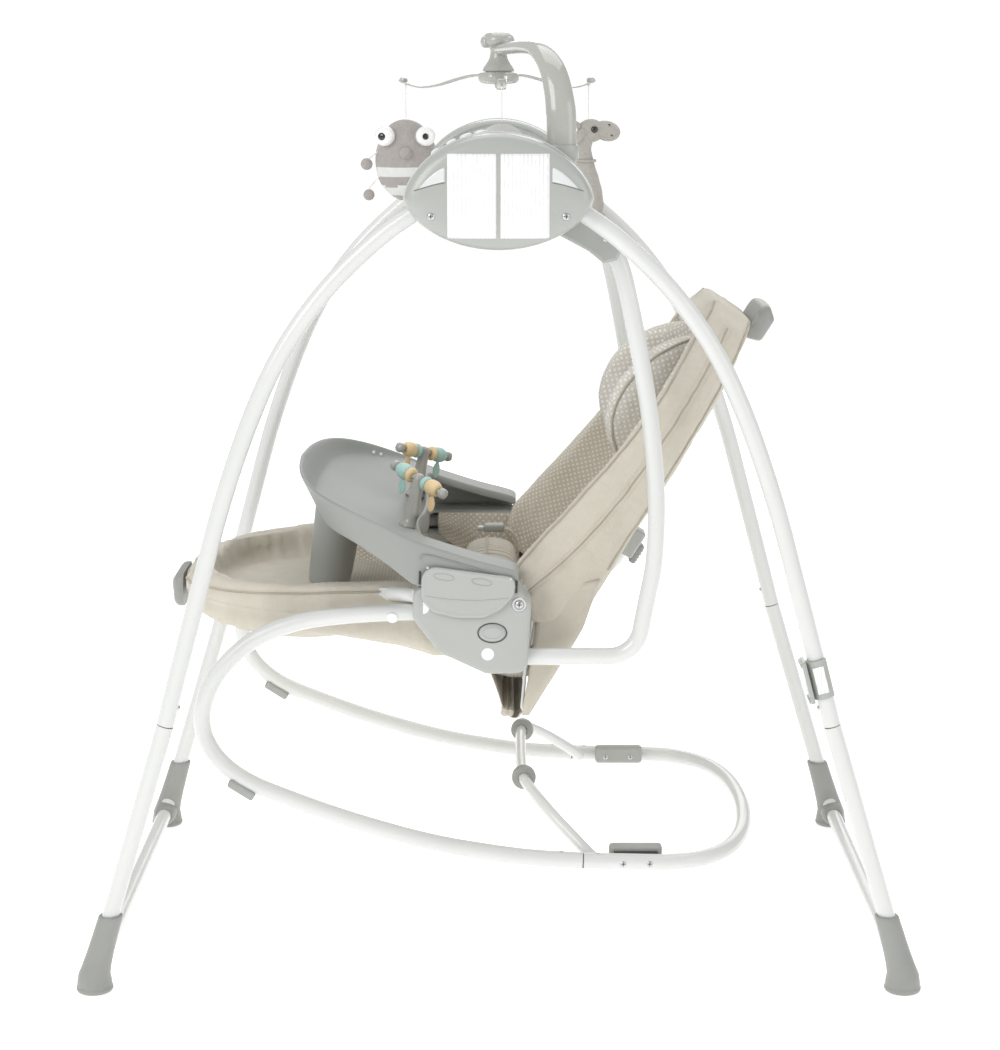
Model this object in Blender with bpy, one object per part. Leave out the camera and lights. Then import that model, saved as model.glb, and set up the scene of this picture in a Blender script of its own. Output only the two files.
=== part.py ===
# Baby swing with a removable rocker seat: stand, drive hubs, swing arms,
# seat unit, backrest, tray and toy mobile.  Metres, +Z up, origin on the
# floor midway between the feet, +X towards the head end, +Y away from the
# side that is photographed.
import math

import bmesh
import bpy
from mathutils import Matrix, Vector

for old in list(bpy.data.objects):
    bpy.data.objects.remove(old, do_unlink=True)

# ---------------------------------------------------------------- sizes
STAND_LENGTH = 0.900      # leg to leg at the floor, along X
PIVOT_HEIGHT = 0.883      # hub centre above the floor
LEG_Y = 0.300             # leg planes, either side of the middle
TUBE_R = 0.0095           # 19 mm tube
TUBE_WALL = 0.0012
FRAME_R = 0.0080          # 16 mm tube inside the fabric
KICK_R = 0.0065           # 13 mm kickstand tube
HUB_DEPTH = 0.070         # both hub covers together, along Y
COVER_WALL = 0.0025
HOUSING_DEPTH = 0.050
CUSHION_WALL = 0.026      # padded side wall that sleeves the frame tube
PANEL = 0.013             # padded seat and back panel
CLEAR = 0.0003            # gap between pieces that touch
MOBILE_R = 0.125          # mobile arm, centre to string
STRING = 0.040            # toy string length
TILT = 0.38               # fall of the tray per metre towards the child

KX = STAND_LENGTH / 0.900
KZ = PIVOT_HEIGHT / 0.883
ARM_Y = LEG_Y - HUB_DEPTH / 2 - 0.030
RAIL_Y = ARM_Y - 0.015
HOUSE_OUT = ARM_Y + 0.020
HOUSE_IN = HOUSE_OUT - HOUSING_DEPTH
SEAT_HALF = HOUSE_IN - 0.005
PIVOT = (0.0, 0.883)
RECLINE = (0.023, 0.429)
KICK = (0.107, 0.1225)

SIDES = (("near", -1), ("far", 1))


def P(x, y, z):
    return Vector((x * KX, y, z * KZ))


# ---------------------------------------------------------------- bodies
BODY = {}


def body(name, parent, at):
    e = bpy.data.objects.new("body_" + name, None)
    e.empty_display_size = 0.03
    bpy.context.scene.collection.objects.link(e)
    at = Vector(at)
    if parent:
        e.parent = BODY[parent][0]
        e.location = at - BODY[parent][1]
    else:
        e.location = at
    BODY[name] = (e, at)


body("stand", None, (0, 0, 0))
body("arms", "stand", P(PIVOT[0], 0, PIVOT[1]))
body("seat", "arms", P(-0.02, 0, 0.40))
body("back", "seat", P(RECLINE[0], 0, RECLINE[1]))
body("kickstand", "seat", P(KICK[0], 0, KICK[1]))
body("tray", "seat", P(-0.10, 0, 0.48))
body("mobile", "stand", P(0, 0, 0.998))

COLOURS = {
    "white_steel": ((0.86, 0.87, 0.87, 1), 0.35, 0.0),
    "grey_plastic": ((0.46, 0.47, 0.45, 1), 0.40, 0.0),
    "light_plastic": ((0.60, 0.61, 0.59, 1), 0.45, 0.0),
    "dark_plastic": ((0.30, 0.31, 0.29, 1), 0.50, 0.0),
    "white_plastic": ((0.80, 0.81, 0.80, 1), 0.40, 0.0),
    "steel": ((0.55, 0.55, 0.56, 1), 0.30, 1.0),
    "beige_fabric": ((0.62, 0.55, 0.45, 1), 0.90, 0.0),
    "dotted_fabric": ((0.42, 0.37, 0.29, 1), 0.90, 0.0),
    "plush_grey": ((0.42, 0.40, 0.38, 1), 0.95, 0.0),
    "plush_light": ((0.60, 0.58, 0.55, 1), 0.95, 0.0),
    "string": ((0.85, 0.85, 0.85, 1), 0.80, 0.0),
    "yellow_plastic": ((0.90, 0.66, 0.33, 1), 0.40, 0.0),
    "mint_plastic": ((0.42, 0.70, 0.62, 1), 0.40, 0.0),
}


def make(name, verts, faces, kind, group, cutter=False):
    node, at = BODY[group]
    bm = bmesh.new()
    vs = [bm.verts.new(Vector(v) - at) for v in verts]
    for f in faces:
        bm.faces.new([vs[i] for i in f])
    bmesh.ops.recalc_face_normals(bm, faces=bm.faces)
    me = bpy.data.meshes.new(name)
    bm.to_mesh(me)
    bm.free()
    ob = bpy.data.objects.new(name, me)
    bpy.context.scene.collection.objects.link(ob)
    ob.parent = node
    if cutter:
        ob.hide_render = True
        ob.display_type = "WIRE"
        return ob
    col, rough, metal = COLOURS[kind]
    m = bpy.data.materials.new(name)
    m.use_nodes = True
    bsdf = m.node_tree.nodes["Principled BSDF"]
    bsdf.inputs["Base Color"].default_value = col
    bsdf.inputs["Roughness"].default_value = rough
    bsdf.inputs["Metallic"].default_value = metal
    m.diffuse_color = col
    me.materials.append(m)
    return ob


def boolean(ob, tool, op="DIFFERENCE"):
    m = ob.modifiers.new(op.lower(), "BOOLEAN")
    m.operation = op
    m.solver = "EXACT"
    m.object = tool
    return ob


# ---------------------------------------------------------------- shapes
def catmull(pts, per=2):
    pts = [Vector(p) for p in pts]
    ext = [pts[0] * 2 - pts[1]] + pts + [pts[-1] * 2 - pts[-2]]
    out = []
    for i in range(1, len(ext) - 2):
        a, b, c, d = ext[i - 1:i + 3]
        for k in range(per):
            t = k / per
            out.append(0.5 * ((2 * b) + (c - a) * t + (2 * a - 5 * b + 4 * c - d) * t * t
                              + (3 * b - a - 3 * c + d) * t ** 3))
    out.append(pts[-1])
    return out


def corner(a, b, c, r, n=4):
    """Arc of radius r that rounds the corner a-b-c."""
    u = (Vector(a) - Vector(b)).normalized()
    v = (Vector(c) - Vector(b)).normalized()
    half = u.angle(v) / 2
    dist = r / math.tan(half)
    mid = (u + v).normalized() * (r / math.sin(half)) + Vector(b)
    s = Vector(b) + u * dist - mid
    e = Vector(b) + v * dist - mid
    w = s.angle(e)
    return [mid + (s * math.sin(w * (1 - k / n)) + e * math.sin(w * k / n)) / math.sin(w)
            for k in range(n + 1)]


def frames(path):
    path = [Vector(p) for p in path]
    tans = []
    for i in range(len(path)):
        a = path[max(i - 1, 0)]
        b = path[min(i + 1, len(path) - 1)]
        tans.append((b - a).normalized())
    ref = Vector((0, 1, 0)) if abs(tans[0].y) < 0.8 else Vector((1, 0, 0))
    out = []
    for i, t in enumerate(tans):
        if i:
            q = tans[i - 1].rotation_difference(t)
            ref = q @ ref
        n = (ref - t * ref.dot(t)).normalized()
        out.append((path[i], n, t.cross(n)))
        ref = n
    return out


def skin(rings, start="cap", end="cap"):
    n = len(rings[0])
    verts = [p for r in rings for p in r]
    faces = []
    for k in range(len(rings) - 1):
        for i in range(n):
            j = (i + 1) % n
            faces.append((k * n + i, k * n + j, (k + 1) * n + j, (k + 1) * n + i))
    for which, flag in ((0, start), (len(rings) - 1, end)):
        if flag == "cap":
            faces.append(tuple(which * n + i for i in range(n)))
        elif flag == "fan":
            c = sum((Vector(p) for p in rings[which]), Vector()) / n
            verts.append(c)
            m = len(verts) - 1
            faces += [(which * n + i, which * n + (i + 1) % n, m) for i in range(n)]
    return verts, faces


def loop(rings):
    """Rings joined into a closed loop, last to first."""
    n = len(rings[0])
    verts = [p for r in rings for p in r]
    faces = []
    for k in range(len(rings)):
        q = (k + 1) % len(rings)
        for i in range(n):
            j = (i + 1) % n
            faces.append((k * n + i, k * n + j, q * n + j, q * n + i))
    return verts, faces


def circle(c, u, v, ru, rv, n):
    return [c + u * (ru * math.cos(2 * math.pi * i / n)) + v * (rv * math.sin(2 * math.pi * i / n))
            for i in range(n)]


def rod(path, r, n=8, flat=1.0):
    rs = r if isinstance(r, (list, tuple)) else [r] * len(path)
    return skin([circle(c, u, v, rr, rr * flat, n) for (c, u, v), rr in zip(frames(path), rs)])


def pipe(path, ro, ri, n=8):
    fr = frames(path)
    ro = ro if isinstance(ro, (list, tuple)) else [ro] * len(path)
    ri = ri if isinstance(ri, (list, tuple)) else [ri] * len(path)
    outer = [circle(c, u, v, a, a, n) for (c, u, v), a in zip(fr, ro)]
    inner = [circle(c, u, v, a, a, n) for (c, u, v), a in zip(fr, ri)]
    return loop(outer + inner[::-1])


def inset(outline, d):
    """Closed XZ outline moved inwards by d."""
    pts = [Vector((p[0], p[1])) for p in outline]
    area = sum(a.x * b.y - b.x * a.y for a, b in zip(pts, pts[1:] + pts[:1]))
    s = 1 if area > 0 else -1
    out = []
    for i, p in enumerate(pts):
        a, b = pts[i - 1], pts[(i + 1) % len(pts)]
        n1 = Vector((-(p - a).y, (p - a).x)).normalized() * s
        n2 = Vector((-(b - p).y, (b - p).x)).normalized() * s
        n = (n1 + n2).normalized()
        out.append(tuple(p + n * (d / max(0.5, n.dot(n1)))))
    return out


def at_y(outline, y):
    return [Vector((x, y, z)) for x, z in outline]


def plate(outline, y0, y1, bevel):
    s = 1 if y1 > y0 else -1
    return skin([at_y(inset(outline, bevel), y0), at_y(outline, y0 + s * bevel),
                 at_y(outline, y1 - s * bevel), at_y(inset(outline, bevel), y1)])


def lathe(origin, axis, profile, n=12, ref=(1, 0, 0)):
    """Closed profile [(r, h)] turned about an axis; r = 0 ends become points."""
    axis = Vector(axis).normalized()
    u = Vector(ref) - axis * Vector(ref).dot(axis)
    u.normalize()
    v = axis.cross(u)
    o = Vector(origin)
    rings = [circle(o + axis * h, u, v, r, r, n) for r, h in profile]
    return rings


def solid_lathe(origin, axis, profile, n=12):
    return skin(lathe(origin, axis, profile, n), "fan", "fan")


def rounded(points, r, n=3):
    """XZ outline with each corner rounded by up to r."""
    pts = [Vector((p[0], 0, p[1])) for p in points]
    out = []
    for i, p in enumerate(pts):
        a, b = pts[i - 1], pts[(i + 1) % len(pts)]
        half = (a - p).angle(b - p) / 2
        rr = min(r, 0.45 * min((a - p).length, (b - p).length) * math.tan(half))
        out += [(q.x, q.z) for q in corner(a, p, b, rr, n)]
    return out


def XZ(points):
    return [(x * KX, z * KZ) for x, z in points]


# ================================================================ stand
# Upper legs: arched tubes from the hub down to the seam; lower tubes: one
# U per end with a reduced spigot that plugs up into each leg.
SEAM = (0.363, 0.305)
SEAM_DIR = Vector((0.022 * KX, 0, -0.084 * KZ)).normalized()
HUB_TOE = (0.073, 0.8695)
LEG = [HUB_TOE, (0.126, 0.832), (0.182, 0.778), (0.229, 0.713), (0.264, 0.640),
       (0.296, 0.550), (0.320, 0.465)]
FLOOR_Z = 0.0205


def leg_path(sx, y):
    seam = P(sx * SEAM[0], y, SEAM[1])
    d = Vector((SEAM_DIR.x * sx, 0, SEAM_DIR.z))
    bend = [P(sx * x, y, z) for x, z in LEG] + [seam - d * 0.060]
    return catmull(bend, 2) + [seam], seam, d


SNAP_UP = 0.020
for end, sx in (("front", -1), ("rear", 1)):
    # lower U tube
    seams = {}
    for side, sy in SIDES:
        path, seam, d = leg_path(sx, sy * LEG_Y)
        seams[side] = (seam, d)
    near, d = seams["near"]
    far = seams["far"][0]
    foot_n = P(sx * 0.449, -LEG_Y, 0)
    foot_n.z = FLOOR_Z
    foot_f = Vector((foot_n.x, LEG_Y, FLOOR_Z))
    down = (foot_n - near).normalized()
    turn = 0.036
    first = [near - d * 0.040, near + down * 0.0004, near + down * 0.0009, near + down * 0.004]
    last = [far + down * 0.004, far + down * 0.0009, far + down * 0.0004, far - d * 0.040]
    path = first + corner(near, foot_n, foot_f, turn) + corner(foot_n, foot_f, far, turn) + last
    ro = [TUBE_R - TUBE_WALL - CLEAR] * 2 + [TUBE_R] * (len(path) - 4) + [TUBE_R - TUBE_WALL - CLEAR] * 2
    ri = [r - TUBE_WALL for r in ro]
    base = make(end + "_base_tube", *pipe(path, ro, ri), "white_steel", "stand")
    sleeve = [near + down * 0.02] + corner(near, foot_n, foot_f, turn) + \
        corner(foot_n, foot_f, far, turn) + [far + down * 0.02]
    channel = make("cut_" + end + "_caps", *rod(sleeve, TUBE_R + CLEAR), None, "stand", True)
    for side, sy in SIDES:
        y = sy * LEG_Y
        path, seam, d = leg_path(sx, y)
        leg = make("leg_%s_%s" % (end, side), *pipe(path, TUBE_R, TUBE_R - TUBE_WALL),
                   "white_steel", "stand")
        # spring button through the leg and the spigot
        at = seam - d * SNAP_UP
        body("snap_%s_%s" % (end, side), "stand", at)
        inward = Vector((-sx, 0, 0))
        hole = make("cut_snap_%s_%s" % (end, side),
                    *rod([at, at + inward * (TUBE_R + 0.006)], 0.0031, 12), None, "stand", True)
        boolean(leg, hole)
        boolean(base, hole)
        start = TUBE_R - TUBE_WALL * 2 - CLEAR - 0.004
        make("snap_button_%s_%s" % (end, side),
             *rod([at + inward * start, at + inward * (TUBE_R + 0.0012),
                   at + inward * (TUBE_R + 0.0022)], [0.0028, 0.0028, 0.0016], 12),
             "steel", "snap_%s_%s" % (end, side))
        # foot cap: flared boot around the corner of the base tube
        foot = Vector((foot_n.x, y, 0))
        axis = Vector((seam.x - foot.x, 0, seam.z - FLOOR_Z)).normalized()
        rings = []
        for z, r in ((0.0, 0.0185), (0.003, 0.0205), (0.010, 0.0200), (0.026, 0.0170),
                     (0.050, 0.0150), (0.086, 0.0135), (0.088, 0.0125)):
            c = foot + Vector((axis.x / axis.z * max(z - FLOOR_Z, 0), 0, z))
            rings.append(circle(c, Vector((1, 0, 0)), Vector((0, 1, 0)), r, r, 16))
        cap = make("foot_cap_%s_%s" % (end, side), *skin(rings), "dark_plastic", "stand")
        boolean(cap, channel)

# leg clip on the rear near leg: two jaws round the tube and a plate
_, seam, d = leg_path(1, -LEG_Y)
mid = seam - d * 0.055
u = Vector((0, 1, 0))
v = d.cross(u).normalized()
if v.x > 0:
    v = -v
prof = []
for k in range(9):
    a = math.radians(35 + 290 * k / 8)
    prof.append((TUBE_R + 0.0030, a))
ring2 = [(TUBE_R + 0.0009, a) for r, a in prof][::-1]
jaw = [(-v * (r * math.cos(a)) + u * (r * math.sin(a))) for r, a in prof + ring2]
rings = [[mid + d * h + p for p in jaw] for h in (-0.022, 0.022)]
clip = make("leg_clip", *skin(rings), "dark_plastic", "stand")
plate_c = mid + v * (TUBE_R + 0.0050)
tool = make("add_clip_plate", *skin([[plate_c + d * h + u * a * 0.014 + v * b * 0.0030
                                      for a, b in ((-1, -1), (1, -1), (1, 1), (-1, 1))]
                                     for h in (-0.024, 0.024)]), None, "stand", True)
boolean(clip, tool, "UNION")

# ---------------------------------------------------------------- hubs
HUB_A = 0.0985


def hub_outline(n=24):
    out = []
    for k in range(n):
        t = 2 * math.pi * k / n
        s = math.sin(t)
        b = 0.0680 if s > 0 else 0.0530
        out.append((HUB_A * math.cos(t), 0.874 + b * math.copysign(abs(s) ** 1.25, s)))
    return XZ(out)


def scaled(outline, s):
    cx, cz = 0.0, 0.8800 * KZ
    return [(cx + (x - cx) * s, cz + (z - cz) * s) for x, z in outline]


OUT = hub_outline()
half = HUB_DEPTH / 2
BOW = HUB_DEPTH / 0.070
for side, sy in SIDES:
    mid_y = sy * LEG_Y

    def Y(d):
        return mid_y + sy * d

    rows = [(1.0, CLEAR / 2), (1.0, 0.017), (0.975, 0.026), (0.87, 0.0315), (0.55, 0.0347)]
    outer = [at_y(scaled(OUT, s), Y(d * BOW)) for s, d in rows]
    inn = inset(OUT, COVER_WALL)
    inner = [at_y(scaled(inn, s), Y(d * BOW)) for s, d in
             ((1.0, CLEAR / 2), (1.0, 0.0160), (0.96, 0.0240), (0.80, 0.0295))]
    rings = outer[::-1] + inner
    cov = make("hub_outer_" + side, *skin(rings, "fan", "fan"), "grey_plastic", "stand")
    flat = [(1.0, -CLEAR / 2), (1.0, -0.027), (0.975, -0.033), (0.90, -0.035)]
    outer = [at_y(scaled(OUT, s), Y(d * BOW)) for s, d in flat]
    inner = [at_y(scaled(inn, s), Y(d * BOW)) for s, d in
             ((1.0, -CLEAR / 2), (1.0, -0.0265), (0.96, -0.0320))]
    inn_cov = make("hub_inner_" + side, *skin(outer[::-1] + inner, "fan", "fan"),
                   "grey_plastic", "stand")
    for end, sx in (("front", -1), ("rear", 1)):
        toe = P(sx * 0.055, mid_y, 0.882)
        out_pt = P(sx * 0.126, mid_y, 0.832)
        toe2 = P(sx * HUB_TOE[0], mid_y, HUB_TOE[1])
        hole = make("cut_hub_%s_%s" % (side, end), *rod([toe, toe2, out_pt], TUBE_R + 0.0012, 12),
                    None, "stand", True)
        boolean(cov, hole)
        boolean(inn_cov, hole)
    c = P(PIVOT[0], 0, PIVOT[1])
    bore = make("cut_bore_" + side, *rod([Vector((c.x, Y(-half * 0.5), c.z)),
                                          Vector((c.x, Y(-half - 0.01), c.z))], 0.0083, 16),
                None, "stand", True)
    boolean(inn_cov, bore)

    # swing arm bracket: shaft in the hub, web, and a socket for the arm
    face = half + 0.003
    web = [(-0.020, 0.883), (-0.014, 0.899), (0.002, 0.904), (0.020, 0.899), (0.088, 0.866),
           (0.122, 0.842), (0.135, 0.822), (0.126, 0.806), (0.112, 0.803), (0.096, 0.816),
           (0.010, 0.862), (-0.010, 0.866)]
    web = XZ(web)
    br = make("arm_bracket_" + side, *plate(web, Y(-face), Y(-face - 0.0265), 0.003),
              "grey_plastic", "arms")
    shaft = make("add_shaft_" + side, *rod([Vector((c.x, Y(-half + 0.012), c.z)),
                                            Vector((c.x, Y(-face - 0.006), c.z))], 0.0080, 16),
                 None, "arms", True)
    boolean(br, shaft, "UNION")
    # swing arm: J-shaped tube from the bracket to the seat housing
    ya = sy * ARM_Y
    J = [(0.103, 0.838), (0.1165, 0.824), (0.131, 0.799), (0.143, 0.752), (0.156, 0.688),
         (0.166, 0.625), (0.173, 0.545), (0.1715, 0.475), (0.163, 0.425)]
    run = catmull([P(x, ya, z) for x, z in J], 1)
    elbow = corner(P(*(0.163, ya, 0.425)), P(0.152, ya, 0.3655), P(0.02, ya, 0.3655), 0.036, 5)
    tail = [P(0.070, ya, 0.3655), P(-0.014, ya, 0.3655)]
    arm_path = run + elbow + tail
    make("swing_arm_" + side, *pipe(arm_path, TUBE_R, TUBE_R - TUBE_WALL), "white_steel", "arms")
    ext = (arm_path[0] - arm_path[1]).normalized()
    sock = make("cut_socket_" + side, *rod([arm_path[0] + ext * 0.0008] + arm_path[1:3],
                                           TUBE_R + CLEAR), None, "arms", True)
    boolean(br, sock)
    HOUSE_TAIL = 0.3655

# control button on top of the near hub's inner cover
bx, bz = OUT[8]
px_, pz_ = OUT[7]
qx_, qz_ = OUT[9]
normal = Vector((pz_ - qz_, 0, qx_ - px_)).normalized()
if normal.z < 0:
    normal = -normal
seat_pt = Vector((bx, -LEG_Y + 0.016 * BOW, bz))
body("power", "stand", seat_pt)
boolean(bpy.data.objects["hub_inner_near"],
        make("cut_power", *rod([seat_pt - normal * 0.008, seat_pt + normal * 0.010], 0.0063, 16),
             None, "stand", True))
make("power_button", *rod([seat_pt - normal * 0.0055, seat_pt + normal * 0.0018,
                           seat_pt + normal * 0.0030], [0.0060, 0.0060, 0.0045], 16),
     "white_plastic", "power")

# ---------------------------------------------------------------- mobile arm
my = -LEG_Y + 0.0175 * BOW
ARM3 = [P(0.066, my, 0.893), P(0.066, my, 0.935), P(0.0645, my + 0.002, 0.972),
        P(0.057, my + 0.018, 1.006), P(0.045, my + 0.055, 1.0255), P(0.032, my + 0.115, 1.030),
        P(0.015, my + 0.205, 1.0295), P(0.002, -0.004, 1.028)]
apath = catmull(ARM3, 2)
nA = len(apath)
widths = [0.0155 - 0.0065 * max(0.0, (i / (nA - 1) - 0.25) / 0.75) for i in range(nA)]


def oval(path, rs, flat, n=12):
    out = []
    for (c, u, v), r in zip(frames(path), rs):
        t = u.cross(v)
        side_v = Vector((1, 0, 0)) - t * t.x
        if side_v.length < 0.3:
            side_v = u
        side_v.normalize()
        w = t.cross(side_v).normalized()
        out.append(circle(c, side_v, w, r, r * flat, n))
    return out


mob_arm = make("mobile_arm", *skin(oval(apath, widths, 0.68, 12)), "grey_plastic", "stand")
top = P(0, 0, 0.998)
head = solid_lathe(top, (0, 0, 1),
                   [(0.0150, 0.0045), (0.0185, 0.0065), (0.0170, 0.010), (0.0120, 0.017),
                    (0.0095, 0.025), (0.0105, 0.032), (0.0175, 0.036), (0.0185, 0.042),
                    (0.0160, 0.047), (0.0080, 0.050)], 16)
boolean(mob_arm, make("add_mobile_head", *head, None, "stand", True), "UNION")
wide = [w + 0.0005 for w in widths]
boolean(bpy.data.objects["hub_inner_near"],
        make("cut_mobile_arm", *skin(oval(apath[:6], wide[:6], 0.70, 12)), None, "stand", True))

# ---------------------------------------------------------------- mobile
ANGLES = (("bug", 151.6), ("giraffe", 31.6), ("cloud", 271.6))
disc = solid_lathe(top, (0, 0, 1), [(0.0200, -0.0080), (0.0235, -0.0060), (0.0235, 0.0020),
                                    (0.0215, 0.0040)], 18)
spinner = make("mobile_spinner", *disc, "grey_plastic", "mobile")
for toy, deg in ANGLES:
    a = math.radians(deg)
    out = Vector((math.cos(a), math.sin(a), 0))
    across = Vector((-math.sin(a), math.cos(a), 0))
    rings = []
    for r, z, w, t in ((0.004, 0.000, 0.008, 0.0030), (0.030, 0.0005, 0.009, 0.0026),
                       (0.055, -0.0040, 0.008, 0.0022), (0.080, -0.0110, 0.0065, 0.0020),
                       (0.100, -0.0135, 0.0055, 0.0020), (0.115, -0.0115, 0.0055, 0.0020),
                       (MOBILE_R + 0.004, -0.0070, 0.0060, 0.0022),
                       (MOBILE_R + 0.008, -0.0060, 0.0030, 0.0015)):
        k = MOBILE_R / 0.125 if r < MOBILE_R else 1
        c = top + out * (r * k) + Vector((0, 0, z))
        rings.append([c + across * (w * p) + Vector((0, 0, t * q))
                      for p, q in ((1, 0), (0.7, 1), (-0.7, 1), (-1, 0), (-0.7, -1), (0.7, -1))])
    boolean(spinner, make("add_arm_" + toy, *skin(rings), None, "mobile", True), "UNION")


def blob(c, r, n=12, m=7, tilt=None):
    c = Vector(c)
    rows = []
    for k in range(1, m):
        t = math.pi * k / m
        rows.append([Vector((r[0] * math.sin(t) * math.cos(2 * math.pi * i / n),
                             r[1] * math.sin(t) * math.sin(2 * math.pi * i / n),
                             -r[2] * math.cos(t))) for i in range(n)])
    verts = [p for row in rows for p in row]
    faces = []
    for k in range(m - 2):
        for i in range(n):
            j = (i + 1) % n
            faces.append((k * n + i, k * n + j, (k + 1) * n + j, (k + 1) * n + i))
    lo, hi = len(verts), len(verts) + 1
    verts += [Vector((0, 0, -r[2])), Vector((0, 0, r[2]))]
    faces += [(i, (i + 1) % n, lo) for i in range(n)]
    faces += [((m - 2) * n + i, (m - 2) * n + (i + 1) % n, hi) for i in range(n)]
    if tilt:
        R = Matrix.Rotation(tilt[0], 3, Vector(tilt[1]))
        verts = [R @ p for p in verts]
    return [p + c for p in verts], faces


for toy, deg in ANGLES:
    a = math.radians(deg)
    eye = top + Vector((math.cos(a), math.sin(a), 0)) * MOBILE_R + Vector((0, 0, -0.0100))
    body("toy_" + toy, "mobile", eye)
    low = eye + Vector((0, 0, -STRING))
    make("string_" + toy, *rod([eye + Vector((0, 0, -0.0014)), (eye + low) / 2, low + Vector((0, 0, CLEAR))],
                               0.0005, 6), "string", "toy_" + toy)
    grp = "toy_" + toy
    if toy == "bug":
        t = make("toy_bug", *blob(low + Vector((0, 0, -0.049)), (0.037, 0.027, 0.049), 12, 8),
                 "plush_grey", grp)
        for s in (-1, 1):
            boolean(t, make("add_bug_eye_%d" % (s + 1),
                            *blob(low + Vector((s * 0.023, -0.022, -0.021)), (0.0115, 0.0115, 0.0115), 8, 5),
                            None, grp, True), "UNION")
    elif toy == "giraffe":
        t = make("toy_giraffe", *blob(low + Vector((-0.001, 0, -0.062)), (0.017, 0.014, 0.060), 10, 7,
                                      (math.radians(8), (0, 1, 0))), "plush_light", grp)
        boolean(t, make("add_giraffe_head", *blob(low + Vector((0.016, 0, -0.017)), (0.025, 0.013, 0.0155), 10, 7,
                                                  (math.radians(14), (0, 1, 0))), None, grp, True), "UNION")
        boolean(t, make("add_giraffe_rump", *blob(low + Vector((-0.017, 0, -0.080)), (0.020, 0.012, 0.016), 8, 5),
                        None, grp, True), "UNION")
    else:
        make("toy_cloud", *blob(low + Vector((0, 0, -0.0305)), (0.030, 0.022, 0.0305), 10, 7),
             "plush_light", grp)

# ================================================================ seat unit
RAIL = [(-0.111, 0.4125), (-0.167, 0.409), (-0.225, 0.4005), (-0.276, 0.379), (-0.316, 0.339),
        (-0.333, 0.293), (-0.322, 0.252), (-0.288, 0.220), (-0.235, 0.196), (-0.160, 0.169),
        (-0.075, 0.145), (0.000, 0.1315), (0.045, 0.1262)]
R_SEAM = (0.095, 0.1232)
house = rounded(XZ([(-0.094, 0.4485), (-0.095, 0.412), (-0.066, 0.374), (-0.014, 0.3495),
                    (0.032, 0.3505), (0.036, 0.4300), (0.020, 0.4485)]), 0.012, 3)
for side, sy in SIDES:
    yr = sy * RAIL_Y
    tail = P(R_SEAM[0], yr, R_SEAM[1])
    path = [P(-0.058, yr, 0.4130)] + catmull([P(x, yr, z) for x, z in RAIL], 1) + [tail]
    make("rocker_rail_" + side, *pipe(path, TUBE_R, TUBE_R - TUBE_WALL), "white_steel", "seat")
    # side housing: a cup that faces inwards
    yo, yi = sy * HOUSE_OUT, sy * HOUSE_IN
    rings = [at_y(inset(house, 0.005), yo), at_y(inset(house, 0.0015), yo - sy * 0.0015),
             at_y(house, yo - sy * 0.005), at_y(house, yi),
             at_y(inset(house, COVER_WALL), yi), at_y(inset(house, COVER_WALL), yo - sy * 0.006),
             at_y(inset(house, 0.006), yo - sy * COVER_WALL)]
    hs = make("side_housing_" + side, *skin(rings), "grey_plastic", "seat")
    boolean(hs, make("cut_rail_" + side, *rod([P(-0.066, yr, 0.4130), P(-0.111, yr, 0.4125),
                                               P(-0.150, yr, 0.4100)], TUBE_R + 0.0012, 12),
                     None, "seat", True))
    ya = sy * ARM_Y
    boolean(hs, make("cut_arm_" + side, *rod([P(0.010, ya, 0.3655), P(0.070, ya, 0.3655)],
                                             TUBE_R + 0.0012, 12), None, "seat", True))
    # release button
    bc = P(-0.007, 0, 0.397)
    body("release_" + side, "seat", Vector((bc.x, yo, bc.z)))
    oval_o = [(bc.x + 0.0150 * math.cos(2 * math.pi * k / 20), bc.z + 0.0100 * math.sin(2 * math.pi * k / 20))
              for k in range(20)]
    boolean(hs, make("cut_release_" + side, *skin([at_y(oval_o, yo + sy * 0.004), at_y(oval_o, yo - sy * 0.005)]),
                     None, "seat", True))
    ob = inset(oval_o, 0.0003)
    make("release_button_" + side, *skin([at_y(inset(ob, 0.002), yo + sy * 0.0012), at_y(ob, yo),
                                          at_y(ob, yo - sy * 0.0060)]), "grey_plastic", "release_" + side)
    # pads under the front bend of the rails
    t = (P(-0.235, yr, 0.196) - P(-0.322, yr, 0.252)).normalized()
    mid = P(-0.284, yr, 0.2178)
    n = Vector((t.z, 0, -t.x))
    if n.z > 0:
        n = -n
    yv = Vector((0, 1, 0))
    pad_rings = [[mid + t * h + yv * (0.0115 * p * q) + n * o for p, o in
                  ((-1, 0.002), (1, 0.002), (1, 0.0125), (0.6, 0.0155), (-0.6, 0.0155), (-1, 0.0125))]
                 for h, q in ((-0.016, 1.0), (0.016, 1.0))]
    pad = make("rail_pad_" + side, *skin(pad_rings), "grey_plastic", "seat")
    k0 = [p for p in path if -0.345 * KX < p.x < -0.20 * KX and p.z < 0.275 * KZ]
    boolean(pad, make("cut_pad_" + side, *rod(k0, TUBE_R + 0.0006, 10), None, "seat", True))
    # stop blocks inside the rear of the runners
    x0, x1 = 0.126 * KX, 0.186 * KX
    z0 = 0.1215 * KZ
    yb = sy * (RAIL_Y - TUBE_R - 0.0010)
    blk = [(x0, z0 - 0.007), (x0, z0 + 0.012), (x0 + 0.006, z0 + 0.0165), (x1 - 0.006, z0 + 0.0165),
           (x1, z0 + 0.012), (x1, z0 - 0.007)]
    make("runner_block_" + side, *plate(blk, yb, yb - sy * 0.015, 0.0015), "grey_plastic", "seat")

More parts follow.
